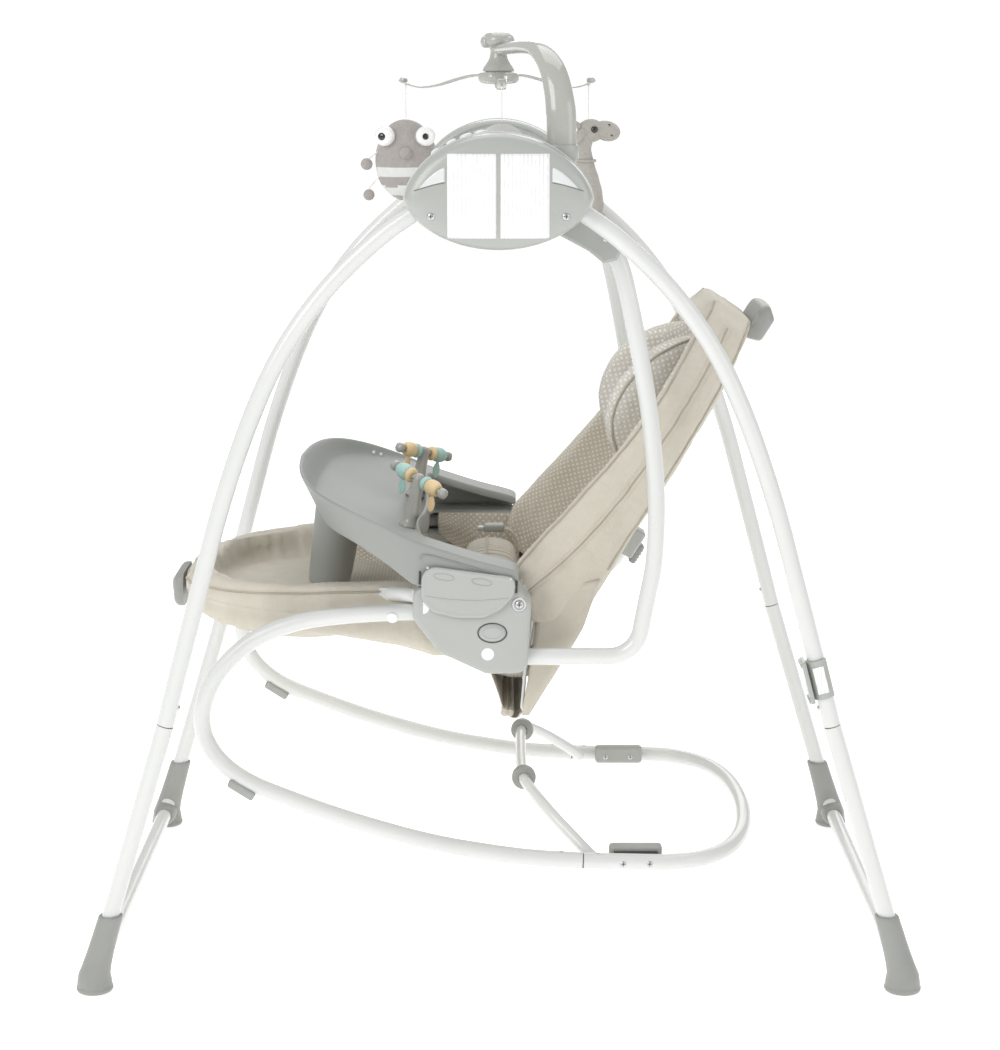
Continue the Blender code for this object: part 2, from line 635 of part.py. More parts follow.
# rear runner tube: plugs into both rails
half_path = [P(0.060, -RAIL_Y, 0.1262 - 0.0030 * 0.015 / 0.050), P(0.0954, -RAIL_Y, 0.12319),
             P(0.0960, -RAIL_Y, 0.12316), P(0.100, -RAIL_Y, 0.1230), P(0.190, -RAIL_Y, 0.1212)]
bend = catmull([P(0.190, -RAIL_Y, 0.1212), P(0.226, -RAIL_Y + 0.010, 0.1212),
                P(0.257, -RAIL_Y + 0.037, 0.1216), P(0.278, -RAIL_Y + 0.080, 0.1225),
                P(0.291, -RAIL_Y + 0.140, 0.1235), P(0.296, 0, 0.1240)], 1)[1:]
near_half = half_path + bend
far_half = [Vector((p.x, -p.y, p.z)) for p in near_half[:-1]][::-1]
full = near_half + far_half
sp = TUBE_R - TUBE_WALL - CLEAR
ro = [sp, sp] + [TUBE_R] * (len(full) - 4) + [sp, sp]
make("rocker_rear_tube", *pipe(full, ro, [r - TUBE_WALL for r in ro]), "white_steel", "seat")

# kickstand: bow between the runners, folded up under the seat
ky = RAIL_Y - TUBE_R - 0.0068
bow = catmull([P(0.107, -ky, 0.1225), P(0.094, -ky + 0.008, 0.1340), P(0.062, -ky + 0.036, 0.1610),
               P(0.038, -ky + 0.070, 0.1810), P(0.029, -ky + 0.100, 0.1870), P(0.027, -0.050, 0.1875)], 1)
bow = bow + [Vector((p.x, -p.y, p.z)) for p in bow[::-1]]
make("kickstand", *pipe(bow, KICK_R, KICK_R - 0.001, 8), "white_steel", "kickstand")

# seat frame tube: U inside the rim of the leg rest
RIM_A, RIM_X = 0.172, -0.200
fx = [(-0.048, HOUSE_OUT - 0.026, 0.4325), (-0.090, HOUSE_OUT - 0.0275, 0.4325),
      (-0.112, HOUSE_IN - 0.001, 0.4310), (-0.140, SEAT_HALF - CUSHION_WALL / 2, 0.4260)]
inset_y = SEAT_HALF - CUSHION_WALL / 2
inset_x = RIM_A - CUSHION_WALL / 2
for k in range(0, 7):
    t = math.radians(90 * k / 6)
    fx.append((RIM_X - inset_x * math.sin(t) ** 0.9 if k else RIM_X, inset_y * math.cos(t) ** 0.75 if k < 6 else 0.0,
               0.4220 - 0.010 * math.sin(t)))
near_half = [P(x, -y, z) for x, y, z in fx]
front = catmull(near_half, 1)
front = front + [Vector((p.x, -p.y, p.z)) for p in front[:-1][::-1]]
make("seat_frame_tube", *pipe(front, FRAME_R, FRAME_R - 0.001, 6), "white_steel", "seat")
seat_cut = make("cut_seat_frame", *rod(front, FRAME_R + CLEAR * 1.5, 6), None, "seat", True)
for side, sy in SIDES:
    hole_path = [p for p in front if p.y * sy > 0 and p.x > -0.135 * KX]
    boolean(bpy.data.objects["side_housing_" + side],
            make("cut_seat_frame_" + side, *rod(hole_path, FRAME_R + 0.0012), None, "seat", True))


def trough(stations, to_world, mirror=False):
    """U-shaped padded channel; each station gives s, outer half width, base,
    rim, inner half width and inner floor."""
    rings = []
    for s, w, b, r, wi, f in stations:
        k = min(0.016, w * 0.4, (r - b) * 0.45)
        h = r - b
        e = min(0.010, wi * 0.4)
        g = min(0.010, max(r - f, 0.0008) * 0.5)
        sec = [(-w, r - min(0.004, h * 0.2)), (-w, b + k), (-w + 0.3 * k, b + 0.3 * k), (-w + k, b), (w - k, b),
               (w - 0.3 * k, b + 0.3 * k), (w, b + k), (w, r - min(0.004, h * 0.2)), (w - 0.004 if w > 0.02 else w * 0.8, r),
               (wi + 0.002, r), (wi, r - min(0.002, (r - f) * 0.3)), (wi, f + g), (wi - e, f), (-wi + e, f),
               (-wi, f + g), (-wi, r - min(0.002, (r - f) * 0.3)), (-wi - 0.002, r),
               (-w + 0.004 if w > 0.02 else -w * 0.8, r)]
        rings.append([to_world(s, y, n) for y, n in sec])
    return skin(rings)


# seat cushion: leg rest and seat, a sling hung from the frame tube
FLOOR = [(-0.372, 0.4000), (-0.330, 0.3950), (-0.250, 0.3910), (-0.180, 0.3880), (-0.120, 0.3800), (-0.085, 0.3710),
         (-0.060, 0.3647), (-0.040, 0.3450), (-0.015, 0.3310), (0.023, 0.3240), (0.056, 0.3290)]


def interp(table, x):
    if x <= table[0][0]:
        return table[0][1]
    for (a, p), (b, q) in zip(table, table[1:]):
        if x <= b:
            return p + (q - p) * (x - a) / (b - a)
    return table[-1][1]


def planform(x, a, b):
    t = min(max((RIM_X - x) / a, 0.0), 1.0)
    return b * (1 - t ** 2.2) ** 0.42


def rim_z(x):
    if x < -0.098:
        return interp([(-0.372, 0.4260), (-0.330, 0.4350), (-0.2, 0.4400), (-0.098, 0.4420)], x)
    return interp([(-0.098, 0.4420), (-0.0870, 0.4050), (-0.075, 0.3800), (-0.060, 0.3657), (-0.040, 0.3460),
                   (-0.015, 0.3320), (0.023, 0.3250), (0.056, 0.3300)], x)


st = []
for x in (-0.371, -0.366, -0.358, -0.345, -0.325, -0.300, -0.265, -0.225, -0.180, -0.140, -0.110, -0.098,
          -0.087, -0.075, -0.060, -0.040, -0.015, 0.023, 0.056):
    wo = max(planform(x, RIM_A, SEAT_HALF), 0.020)
    wi = planform(x, RIM_A - CUSHION_WALL, SEAT_HALF - CUSHION_WALL) if x > RIM_X - RIM_A + CUSHION_WALL + 0.003 else 0
    rz = rim_z(x)
    fz = interp(FLOOR, x)
    base = fz - PANEL
    if wi < 0.02:
        wi, fz = wo * 0.6, rz - 0.0006
    if rz - fz < 0.0008:
        fz = rz - 0.0006
    st.append((x, wo, base, rz, min(wi, wo - 0.006), fz))
cush = make("seat_cushion", *trough(st, lambda s, y, n: P(s, y, n)), "beige_fabric", "seat")
boolean(cush, seat_cut)

# vibration unit at the tip of the leg rest
tip = []
for y, x0 in ((-0.045, -0.3735), (-0.036, -0.3740), (0.0, -0.3745), (0.036, -0.3740), (0.045, -0.3735)):
    dx = 0.012 * (1 - (y / 0.052) ** 4) + 0.003
    tip.append([P(x0, y, 0.376), P(x0, y, 0.418), P(x0 - dx * 0.7, y, 0.417), P(x0 - dx, y, 0.407),
                P(x0 - dx, y, 0.388), P(x0 - dx * 0.6, y, 0.3765)])
make("vibration_unit", *skin(tip), "grey_plastic", "seat")

# ================================================================ backrest
B0 = (0.068, 0.358)
U = Vector((0.218, 0.351)).normalized()
N = Vector((-U.y, U.x))


def back(s, y, n):
    return P(B0[0] + U.x * s + N.x * n, y, B0[1] + U.y * s + N.y * n)


FRONT = [(0.010, 0.060), (0.035, 0.092), (0.060, 0.098), (0.100, 0.092), (0.150, 0.083), (0.200, 0.075),
         (0.250, 0.067), (0.300, 0.062), (0.390, 0.062), (0.428, 0.058)]
WIDTH = [(0.0, SEAT_HALF), (0.240, SEAT_HALF - 0.004), (0.300, SEAT_HALF - 0.014), (0.350, SEAT_HALF - 0.034),
         (0.390, SEAT_HALF - 0.062), (0.415, SEAT_HALF - 0.092), (0.428, SEAT_HALF - 0.120)]
sb = [(0.034, RAIL_Y - 0.004, 0.0757), (0.036, RAIL_Y - 0.020, 0.0757), (0.054, SEAT_HALF - 0.0135, 0.0765)]
for s in (0.080, 0.130, 0.190, 0.250, 0.300, 0.345):
    sb.append((s, interp(WIDTH, s) - CUSHION_WALL / 2, interp(FRONT, s) - 0.0135))
sb += [(0.380, SEAT_HALF - 0.080, 0.0475), (0.402, SEAT_HALF - 0.130, 0.0465), (0.408, 0.0, 0.0465)]
nb_path = [back(s, -y, n) for s, y, n in sb]
nb_path[0] = P(RECLINE[0], -(RAIL_Y + 0.010), RECLINE[1])
nb_path[1] = P(RECLINE[0], -(HOUSE_IN - 0.005), RECLINE[1])
bpath = catmull(nb_path, 1)
bpath = bpath + [Vector((p.x, -p.y, p.z)) for p in bpath[:-1][::-1]]
make("back_frame_tube", *pipe(bpath, FRAME_R, FRAME_R - 0.001, 6), "white_steel", "back")
bcut = make("cut_back_frame", *rod(bpath, FRAME_R + CLEAR * 1.5, 6), None, "back", True)

st = []
for s in (0.012, 0.035, 0.060, 0.100, 0.150, 0.200, 0.250, 0.300, 0.340, 0.370, 0.392, 0.396, 0.412, 0.424, 0.430):
    w = interp(WIDTH, s)
    r = interp(FRONT, s)
    wi = w - CUSHION_WALL
    f = PANEL
    if s > 0.393:
        f, wi = r - 0.0008, w * 0.6
    st.append((s, w, 0.004 if s < 0.02 else 0.0, r, wi, f))
bc = make("back_cushion", *trough(st, back), "beige_fabric", "back")
boolean(bc, bcut)

# head pillow with two side wings
st = []
for s, w, h in ((0.205, 0.085, 0.030), (0.215, 0.098, 0.048), (0.245, 0.108, 0.082), (0.290, 0.110, 0.090),
                (0.330, 0.106, 0.080), (0.365, 0.094, 0.056), (0.385, 0.078, 0.034)):
    flo = PANEL + CLEAR + 0.018
    st.append((s, w, PANEL + CLEAR, max(PANEL + h * 0.92, flo + 0.003), w - 0.024, flo))
make("head_pillow", *trough(st, back), "dotted_fabric", "back")

# grab handle behind the top of the backrest
grip = []
for y, k in ((-0.055, 0.55), (-0.048, 0.9), (0.0, 1.0), (0.048, 0.9), (0.055, 0.55)):
    grip.append([back(0.402 + 0.02 * (1 - k), y, -0.0006), back(0.448 - 0.012 * (1 - k), y, -0.0006),
                 back(0.452 - 0.014 * (1 - k), y, -0.010), back(0.440 - 0.010 * (1 - k), y, -0.021 * k - 0.004),
                 back(0.410 + 0.010 * (1 - k), y, -0.022 * k - 0.003)])
make("back_handle", *skin(grip), "dark_plastic", "back")

# ================================================================ tray
yo, yi = HOUSE_OUT + 0.0005, HOUSE_IN + 0.0005
BASE = 0.4495
ST = [  # outer x, y; inner x, y; top z at the outer edge; skirt bottom z; lean; recess
    (0.022, yo, 0.022, yi, 0.4640, BASE, 0.0010, 0.0004),
    (0.012, yo, 0.012, yi, 0.4690, BASE, 0.0010, 0.0004),
    (-0.030, yo, -0.030, yi, 0.4800, BASE, 0.0010, 0.0004),
    (-0.080, yo, -0.076, yi, 0.4960, BASE, 0.0010, 0.0006),
    (-0.094, yo, -0.084, yi - 0.003, 0.5010, BASE + 0.002, 0.0015, 0.0010),
    (-0.125, yo - 0.005, -0.088, yi - 0.020, 0.5150, 0.4700, 0.008, 0.0040),
    (-0.165, yo - 0.020, -0.090, yi - 0.050, 0.5310, 0.4910, 0.012, 0.0110),
    (-0.198, yo - 0.050, -0.089, yi - 0.085, 0.5430, 0.5000, 0.018, 0.0170),
    (-0.219, yo - 0.100, -0.086, yi - 0.120, 0.5500, 0.5030, 0.022, 0.0210),
    (-0.231, yo - 0.170, -0.084, yi - 0.160, 0.5535, 0.5050, 0.024, 0.0260),
    (-0.236, 0.0, -0.083, 0.0, 0.5550, 0.5050, 0.025, 0.0280)]


def tray_ring(row, sy):
    xo, y0, xi, y1, zt, zb, lean, dep = row
    a = Vector((xo, sy * y0))
    b = Vector((xi, sy * y1))
    w = (b - a).length
    t = (b - a) / w

    def at(v, z):
        q = a + t * v
        return P(q.x, q.y, z)

    def zp(v):
        return zt - TILT * max(0.0, (a + t * v).x - xo) * KX / KZ

    und = 0.003
    h = zt - zb
    v1 = 0.0065 + lean * dep / h
    v2 = 0.0036 + lean * (dep + und) / h
    low = min(zp(w) - 0.010, zp(w) - dep - und - 0.001)
    return [at(lean, zb), at(0.0, zt - 0.003), at(0.002, zt), at(0.0045, zp(0.0045) + 0.0002),
            at(v1, zp(v1) - dep), at(w - 0.0065, zp(w - 0.0065) - dep),
            at(w - 0.0045, zp(w - 0.0045) + 0.0002), at(w - 0.001, zp(w) - 0.0008), at(w, zp(w) - 0.003),
            at(w, low), at(w - 0.003, low), at(w - 0.0035, zp(w - 0.0065) - dep - und),
            at(v2, zp(v2) - dep - und), at(lean + 0.0032, zb)]


rings = [tray_ring(r, -1) for r in ST] + [tray_ring(r, 1) for r in ST[:-1][::-1]]
tray = make("tray", *skin(rings), "grey_plastic", "tray")
pom = []


def dish(ring, drop):
    """Ring laid parallel to the floor of the tray."""
    return [Vector((p.x, p.y, (0.5550 - 0.0280 - drop) * KZ - TILT * (p.x + 0.236 * KX))) for p in ring]


for z, cx, rx, ry in ((0.5075, -0.188, 0.0290, 0.0360), (0.4650, -0.194, 0.0280, 0.0330),
                      (0.4120, -0.202, 0.0260, 0.0290), (0.4010, -0.2035, 0.0240, 0.0270)):
    pom.append(circle(P(cx, 0, z), Vector((1, 0, 0)), Vector((0, 1, 0)), rx, ry, 18))
pin = []
for z, cx, rx, ry in ((0.4010, -0.2035, 0.0215, 0.0245), (0.4120, -0.202, 0.0235, 0.0265),
                      (0.4650, -0.194, 0.0255, 0.0305), (0.5030, -0.1885, 0.0265, 0.0335)):
    pin.append(circle(P(cx, 0, z), Vector((1, 0, 0)), Vector((0, 1, 0)), rx, ry, 18))
pom[0] = dish(pom[0], 0.0015)
pin[-1] = dish(pin[-1], 0.0080)
boolean(tray, make("add_pommel", *skin(pom + pin), None, "tray", True), "UNION")

# latch flaps on both ends of the tray, hung from two pins
for side, sy in SIDES:
    fo = rounded(XZ([(-0.084, 0.4740), (0.019, 0.4600), (0.017, 0.4400), (0.002, 0.4240), (-0.016, 0.4150),
                     (-0.046, 0.4150), (-0.072, 0.4210), (-0.085, 0.4360)]), 0.010, 2)
    hinge = P(-0.032, 0, 0.4670)
    y_in = sy * (HOUSE_OUT + 0.0022)
    body("latch_" + side, "tray", Vector((hinge.x, y_in, hinge.z)))
    make("tray_latch_" + side, *plate(fo, y_in, y_in + sy * 0.0038, 0.0010), "grey_plastic", "latch_" + side)

# toy bars: a post with a crossbar; two bead rollers on each
post_dir = Vector((0.20, 0, 0.98)).normalized()
for side, sy in SIDES:
    foot = P(-0.103, sy * 0.100, 0.5306)
    foot.z += 0.0012 - TILT * 0.116 * KX
    ptop = foot + post_dir * 0.0560
    bar = Vector((0.635, sy * 0.735, -0.245)).normalized()
    post = make("toy_post_" + side, *rod([foot, foot + post_dir * 0.004, foot + post_dir * 0.030, ptop,
                                          ptop + post_dir * 0.005],
                                         [0.0105, 0.0095, 0.0075, 0.0060, 0.0035], 12), "grey_plastic", "tray")
    hub_c = ptop - post_dir * 0.001
    rod_prof = [(0.0035, -0.0490), (0.0060, -0.0475), (0.0060, -0.0405), (0.0030, -0.0390), (0.0030, 0.0390),
                (0.0060, 0.0405), (0.0060, 0.0475), (0.0035, 0.0490)]
    boolean(post, make("add_bar_" + side, *solid_lathe(hub_c, bar, rod_prof, 12), None, "tray", True), "UNION")
    for tag, d, kind in (("front", -1, "yellow_plastic" if side == "far" else "mint_plastic"),
                         ("rear", 1, "yellow_plastic" if side == "near" else "mint_plastic")):
        grp = "bead_%s_%s" % (side, tag)
        cen = hub_c + bar * (d * 0.0235)
        body(grp, "tray", cen)
        prof = [(0.0034, -0.0130), (0.0078, -0.0130), (0.0092, -0.0080), (0.0078, -0.0015), (0.0092, 0.0050),
                (0.0078, 0.0130), (0.0034, 0.0130)]
        bead = make("bead_roller_%s_%s" % (side, tag), *loop(lathe(cen, bar, prof, 12)), kind, grp)
        drop = Vector((0, 0, -1)) + bar * bar.z
        drop.normalize()
        wide = bar
        thin = drop.cross(wide)
        leaf = []
        for h, w in ((0.0060, 0.0020), (0.0110, 0.0035), (0.0180, 0.0055), (0.0240, 0.0045), (0.0290, 0.0015)):
            c = cen + bar * (d * 0.004) + drop * h
            leaf.append([c + wide * w + thin * 0.0012, c - wide * w + thin * 0.0012,
                         c - wide * w - thin * 0.0012, c + wide * w - thin * 0.0012])
        boolean(bead, make("add_leaf_%s_%s" % (side, tag), *skin(leaf), None, grp, True), "UNION")
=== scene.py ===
import math

import bmesh
import bpy
import numpy as np
from mathutils import Matrix, Vector, noise
from mathutils.bvhtree import BVHTree
from mathutils.kdtree import KDTree


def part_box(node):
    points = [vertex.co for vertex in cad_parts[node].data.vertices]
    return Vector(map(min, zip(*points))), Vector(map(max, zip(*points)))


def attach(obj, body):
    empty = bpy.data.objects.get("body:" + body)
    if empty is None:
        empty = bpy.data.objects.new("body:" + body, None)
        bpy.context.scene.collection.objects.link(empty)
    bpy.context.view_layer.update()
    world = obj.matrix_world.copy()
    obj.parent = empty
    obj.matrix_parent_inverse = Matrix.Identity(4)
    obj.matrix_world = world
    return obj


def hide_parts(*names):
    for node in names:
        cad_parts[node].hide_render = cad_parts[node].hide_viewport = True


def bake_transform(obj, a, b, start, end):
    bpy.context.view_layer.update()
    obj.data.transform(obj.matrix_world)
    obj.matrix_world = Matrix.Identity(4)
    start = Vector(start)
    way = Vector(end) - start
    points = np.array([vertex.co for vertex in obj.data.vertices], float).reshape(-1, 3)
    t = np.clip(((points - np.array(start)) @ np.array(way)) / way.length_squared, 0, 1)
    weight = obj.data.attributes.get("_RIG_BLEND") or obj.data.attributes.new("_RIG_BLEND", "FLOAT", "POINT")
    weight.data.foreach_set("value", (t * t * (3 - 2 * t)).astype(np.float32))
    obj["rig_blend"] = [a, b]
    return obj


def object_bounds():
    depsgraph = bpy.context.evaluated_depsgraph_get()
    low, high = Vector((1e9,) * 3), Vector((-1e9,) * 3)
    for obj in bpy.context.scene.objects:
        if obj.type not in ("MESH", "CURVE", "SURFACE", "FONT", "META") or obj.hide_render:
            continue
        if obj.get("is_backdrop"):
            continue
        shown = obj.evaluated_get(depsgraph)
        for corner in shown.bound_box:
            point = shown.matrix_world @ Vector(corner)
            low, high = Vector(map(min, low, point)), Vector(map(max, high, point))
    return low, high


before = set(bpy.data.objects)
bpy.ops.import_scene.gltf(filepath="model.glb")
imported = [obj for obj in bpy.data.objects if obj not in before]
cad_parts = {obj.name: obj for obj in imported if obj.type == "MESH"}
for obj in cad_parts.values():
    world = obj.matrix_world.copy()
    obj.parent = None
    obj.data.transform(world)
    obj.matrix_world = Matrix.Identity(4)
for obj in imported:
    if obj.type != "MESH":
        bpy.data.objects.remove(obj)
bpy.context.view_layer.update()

scene = bpy.context.scene

# ---------------------------------------------------------------- studio
# A long lens looks a little down on the near side of the swing, in a white
# studio with one large soft box at the left and weaker ones right and above.
lens = bpy.data.cameras.new("studio_camera")
lens.sensor_fit = "VERTICAL"
lens.sensor_height = 36.0
lens.lens = 83.25
camera = bpy.data.objects.new("studio_camera", lens)
camera.location = (0.0015, -2.856, 1.016)
camera.rotation_euler = (math.radians(90 - 10.84), 0, 0)
scene.collection.objects.link(camera)
scene.camera = camera

for name, at, aim, size, watts in (
        ("soft_box_left", (-2.2, -2.4, 2.3), (0, 0, 0.55), 1.8, 46),
        ("soft_box_right", (2.5, -1.8, 1.5), (0, 0, 0.5), 1.6, 12),
        ("soft_box_top", (0.2, 0.6, 3.0), (0, 0, 0.5), 2.2, 26),
        ("soft_box_back", (0.6, 3.0, 1.8), (0, 0, 0.6), 1.8, 14)):
    lamp = bpy.data.lights.new(name, "AREA")
    lamp.size = size
    lamp.energy = watts
    holder = bpy.data.objects.new(name, lamp)
    holder.location = at
    holder.rotation_euler = (Vector(aim) - Vector(at)).to_track_quat("-Z", "Y").to_euler()
    scene.collection.objects.link(holder)

world = bpy.data.worlds.new("white_studio")
scene.world = world
world.use_nodes = True
sky = world.node_tree.nodes["Background"]
sky.inputs["Color"].default_value = (1, 1, 1, 1)
sky.inputs["Strength"].default_value = 0.55
scene.view_settings.view_transform = "Standard"
ray = world.node_tree.nodes.new("ShaderNodeLightPath")
lift = world.node_tree.nodes.new("ShaderNodeMath")
lift.operation = "MULTIPLY_ADD"
lift.inputs[1].default_value, lift.inputs[2].default_value = 0.47, 0.55
world.node_tree.links.new(ray.outputs["Is Camera Ray"], lift.inputs[0])
world.node_tree.links.new(lift.outputs[0], sky.inputs["Strength"])


class Wire:
    """A socket of a finish; arithmetic on it adds Math nodes."""

    def __init__(self, finish, socket):
        self.finish, self.socket = finish, socket

    def maths(self, operation, *values):
        return self.finish.node("ShaderNodeMath", {"operation": operation}, *values)

    def __add__(self, other):
        return self.maths("ADD", self, other)

    def __sub__(self, other):
        return self.maths("SUBTRACT", self, other)

    def __rsub__(self, other):
        return self.maths("SUBTRACT", other, self)

    def __mul__(self, other):
        return self.maths("MULTIPLY", self, other)

    def __gt__(self, other):
        return self.maths("GREATER_THAN", self, other)

    def __lt__(self, other):
        return self.maths("LESS_THAN", self, other)

    __radd__, __rmul__ = __add__, __mul__


class Finish:
    """One material: constants go on the shader, the rest comes from nodes."""

    def __init__(self, name, colour, rough, **constants):
        self.material = bpy.data.materials.new(name)
        self.material.use_nodes = True
        self.material.diffuse_color = (*colour, 1)
        self.tree = self.material.node_tree
        self.skin = self.tree.nodes["Principled BSDF"]
        self.skin.inputs["Base Color"].default_value = (*colour, 1)
        self.skin.inputs["Roughness"].default_value = rough
        for socket, value in constants.items():
            self.skin.inputs[socket.replace("_", " ")].default_value = value
        self.here = self.node("ShaderNodeTexCoord", out="Object")

    def node(self, kind, settings=None, *values, out=0, **named):
        made = self.tree.nodes.new(kind)
        for setting, value in (settings or {}).items():
            if setting == "stops":
                ramp = made.color_ramp.elements
                while len(ramp) < len(value):
                    ramp.new(0.5)
                for stop, (at, grey) in zip(ramp, value):
                    stop.position, stop.color = at, (grey, grey, grey, 1)
            else:
                setattr(made, setting, value)
        for i, value in enumerate(values):
            self.join(value, made.inputs[i])
        for socket, value in named.items():
            self.join(value, made.inputs[socket.replace("_", " ")])
        return Wire(self, made.outputs[out])

    def join(self, value, socket):
        if isinstance(value, Wire):
            self.tree.links.new(value.socket, socket)
        else:
            socket.default_value = value

    def noise(self, scale, detail=3.0, where=None, rough=0.55):
        return self.node("ShaderNodeTexNoise", None, Vector=where or self.here, Scale=scale,
                         Detail=detail, Roughness=rough)

    def ramp(self, value, *stops):
        return self.node("ShaderNodeValToRGB", {"stops": stops}, value)

    def tint(self, amount, a, b, how="MIX"):
        made = self.tree.nodes.new("ShaderNodeMix")
        made.data_type, made.blend_type = "RGBA", how
        for value, i in ((amount, 0), (a, 6), (b, 7)):
            self.join((*value, 1) if isinstance(value, tuple) else value, made.inputs[i])
        return Wire(self, made.outputs[2])

    def relief(self, height, distance, under=None, strength=1.0):
        more = {"Normal": under} if under else {}
        return self.node("ShaderNodeBump", None, Height=height, Distance=distance,
                         Strength=strength, **more)

    def set(self, **ends):
        for socket, value in ends.items():
            self.join(value, self.skin.inputs[socket.replace("_", " ")])
        return self


paper_floor = Finish("studio_floor", (0.93, 0.93, 0.93), 0.95, Specular_IOR_Level=0.1,
                     Emission_Strength=0.56, Emission_Color=(1, 1, 1, 1))
grain = paper_floor.noise(6.0)
paper_floor.set(Base_Color=paper_floor.tint(grain, (0.92, 0.92, 0.92), (0.945, 0.945, 0.94)))
ground = bpy.data.meshes.new("studio_floor")
ground.from_pydata([(40 * math.cos(math.tau * i / 64), 40 * math.sin(math.tau * i / 64), -0.0004)
                    for i in range(64)], [], [tuple(range(64))])
ground.materials.append(paper_floor.material)
floor = bpy.data.objects.new("studio_floor", ground)
scene.collection.objects.link(floor)
floor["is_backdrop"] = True

# ---------------------------------------------------------------- toy strings
# Three white nylon strings, 1 mm thick, hang from the clips of the mobile
# and are sewn into the tops of the plush toys.
string_nylon = Finish("white_nylon_string", (0.84, 0.84, 0.82), 0.6, Sheen_Weight=0.2)
lay = string_nylon.node("ShaderNodeTexWave", {"bands_direction": "DIAGONAL"}, Vector=string_nylon.here,
                        Scale=900.0)
string_nylon.set(Base_Color=string_nylon.tint(lay, (0.80, 0.80, 0.78), (0.88, 0.88, 0.86)),
                 Normal=string_nylon.relief(lay, 0.0001))
TOYS = ("bug", "giraffe", "cloud")
string_end = {}
for toy in TOYS:
    low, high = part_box("string_" + toy)
    top = Vector(((low.x + high.x) / 2, (low.y + high.y) / 2, high.z))
    string_end[toy] = Vector((top.x, top.y, low.z))
    line = bpy.data.curves.new("nylon_string_" + toy, "CURVE")
    line.dimensions = "3D"
    line.bevel_depth = 0.0005
    line.bevel_resolution = 3
    run = line.splines.new("POLY")
    run.points.add(15)
    for i, point in enumerate(run.points):
        point.co = (top.x, top.y, top.z + (low.z - high.z) * i / 15, 1)
    line.materials.append(string_nylon.material)
    string = bpy.data.objects.new("nylon_string_" + toy, line)
    scene.collection.objects.link(string)
    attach(string, "toy_" + toy)
    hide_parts("string_" + toy)

# ---------------------------------------------------------------- stand tubes
# Bent 19 mm steel tube, painted off-white.  The arched upper legs plug into
# the hubs; a lower U at each end plugs up into the legs at a visible seam.
white_paint = Finish("white_painted_steel", (0.80, 0.81, 0.80), 0.26, Coat_Weight=0.45,
                     Coat_Roughness=0.07, Specular_IOR_Level=0.5)
cloud = white_paint.noise(7.0, 4.0)
scuff = white_paint.ramp(white_paint.noise(60.0, 6.0), (0.66, 0.0), (0.74, 1.0))
peel = white_paint.noise(520.0, 2.0)
white_paint.set(
    Base_Color=white_paint.tint(scuff * 0.35, white_paint.tint(cloud, (0.665, 0.675, 0.662),
                                                               (0.720, 0.728, 0.712)),
                                (0.58, 0.58, 0.555)),
    Roughness=cloud * 0.10 + scuff * 0.15 + 0.20, Normal=white_paint.relief(peel, 0.00006))

FLOOR_BAR_Z = 0.0205
TUBE = 0.0095
LEG_PLANE = 0.300
LEG_BEND = [(0.073, 0.8695), (0.126, 0.832), (0.182, 0.778), (0.229, 0.713), (0.264, 0.640),
            (0.296, 0.550), (0.320, 0.465)]
LEG_SEAM = (0.363, 0.305)
SEAM_WAY = Vector((0.022, 0, -0.084)).normalized()
SIDES = (("near", -1), ("far", 1))
ENDS = (("front", -1), ("rear", 1))


def eased(points, per=8):
    """A smooth line through the points, of any number of dimensions."""
    rows = [tuple(p) for p in points]
    rows = [tuple(2 * a - b for a, b in zip(rows[0], rows[1]))] + rows + \
        [tuple(2 * a - b for a, b in zip(rows[-1], rows[-2]))]
    line = []
    for i in range(1, len(rows) - 2):
        for k in range(per):
            t = k / per
            line.append(tuple(0.5 * (2 * b + (c - a) * t + (2 * a - 5 * b + 4 * c - d) * t * t
                                     + (3 * b - a - 3 * c + d) * t ** 3)
                              for a, b, c, d in zip(*rows[i - 1:i + 3])))
    return line + [rows[-2]]


def rounded_corner(a, b, c, radius, steps=10):
    """Arc that rounds the corner a-b-c."""
    a, b, c = Vector(a), Vector(b), Vector(c)
    u, v = (a - b).normalized(), (c - b).normalized()
    half = u.angle(v) / 2
    centre = b + (u + v).normalized() * (radius / math.sin(half))
    s, e = b + u * (radius / math.tan(half)) - centre, b + v * (radius / math.tan(half)) - centre
    w = s.angle(e)
    return [centre + (s * math.sin(w * (1 - k / steps)) + e * math.sin(w * k / steps)) / math.sin(w)
            for k in range(steps + 1)]


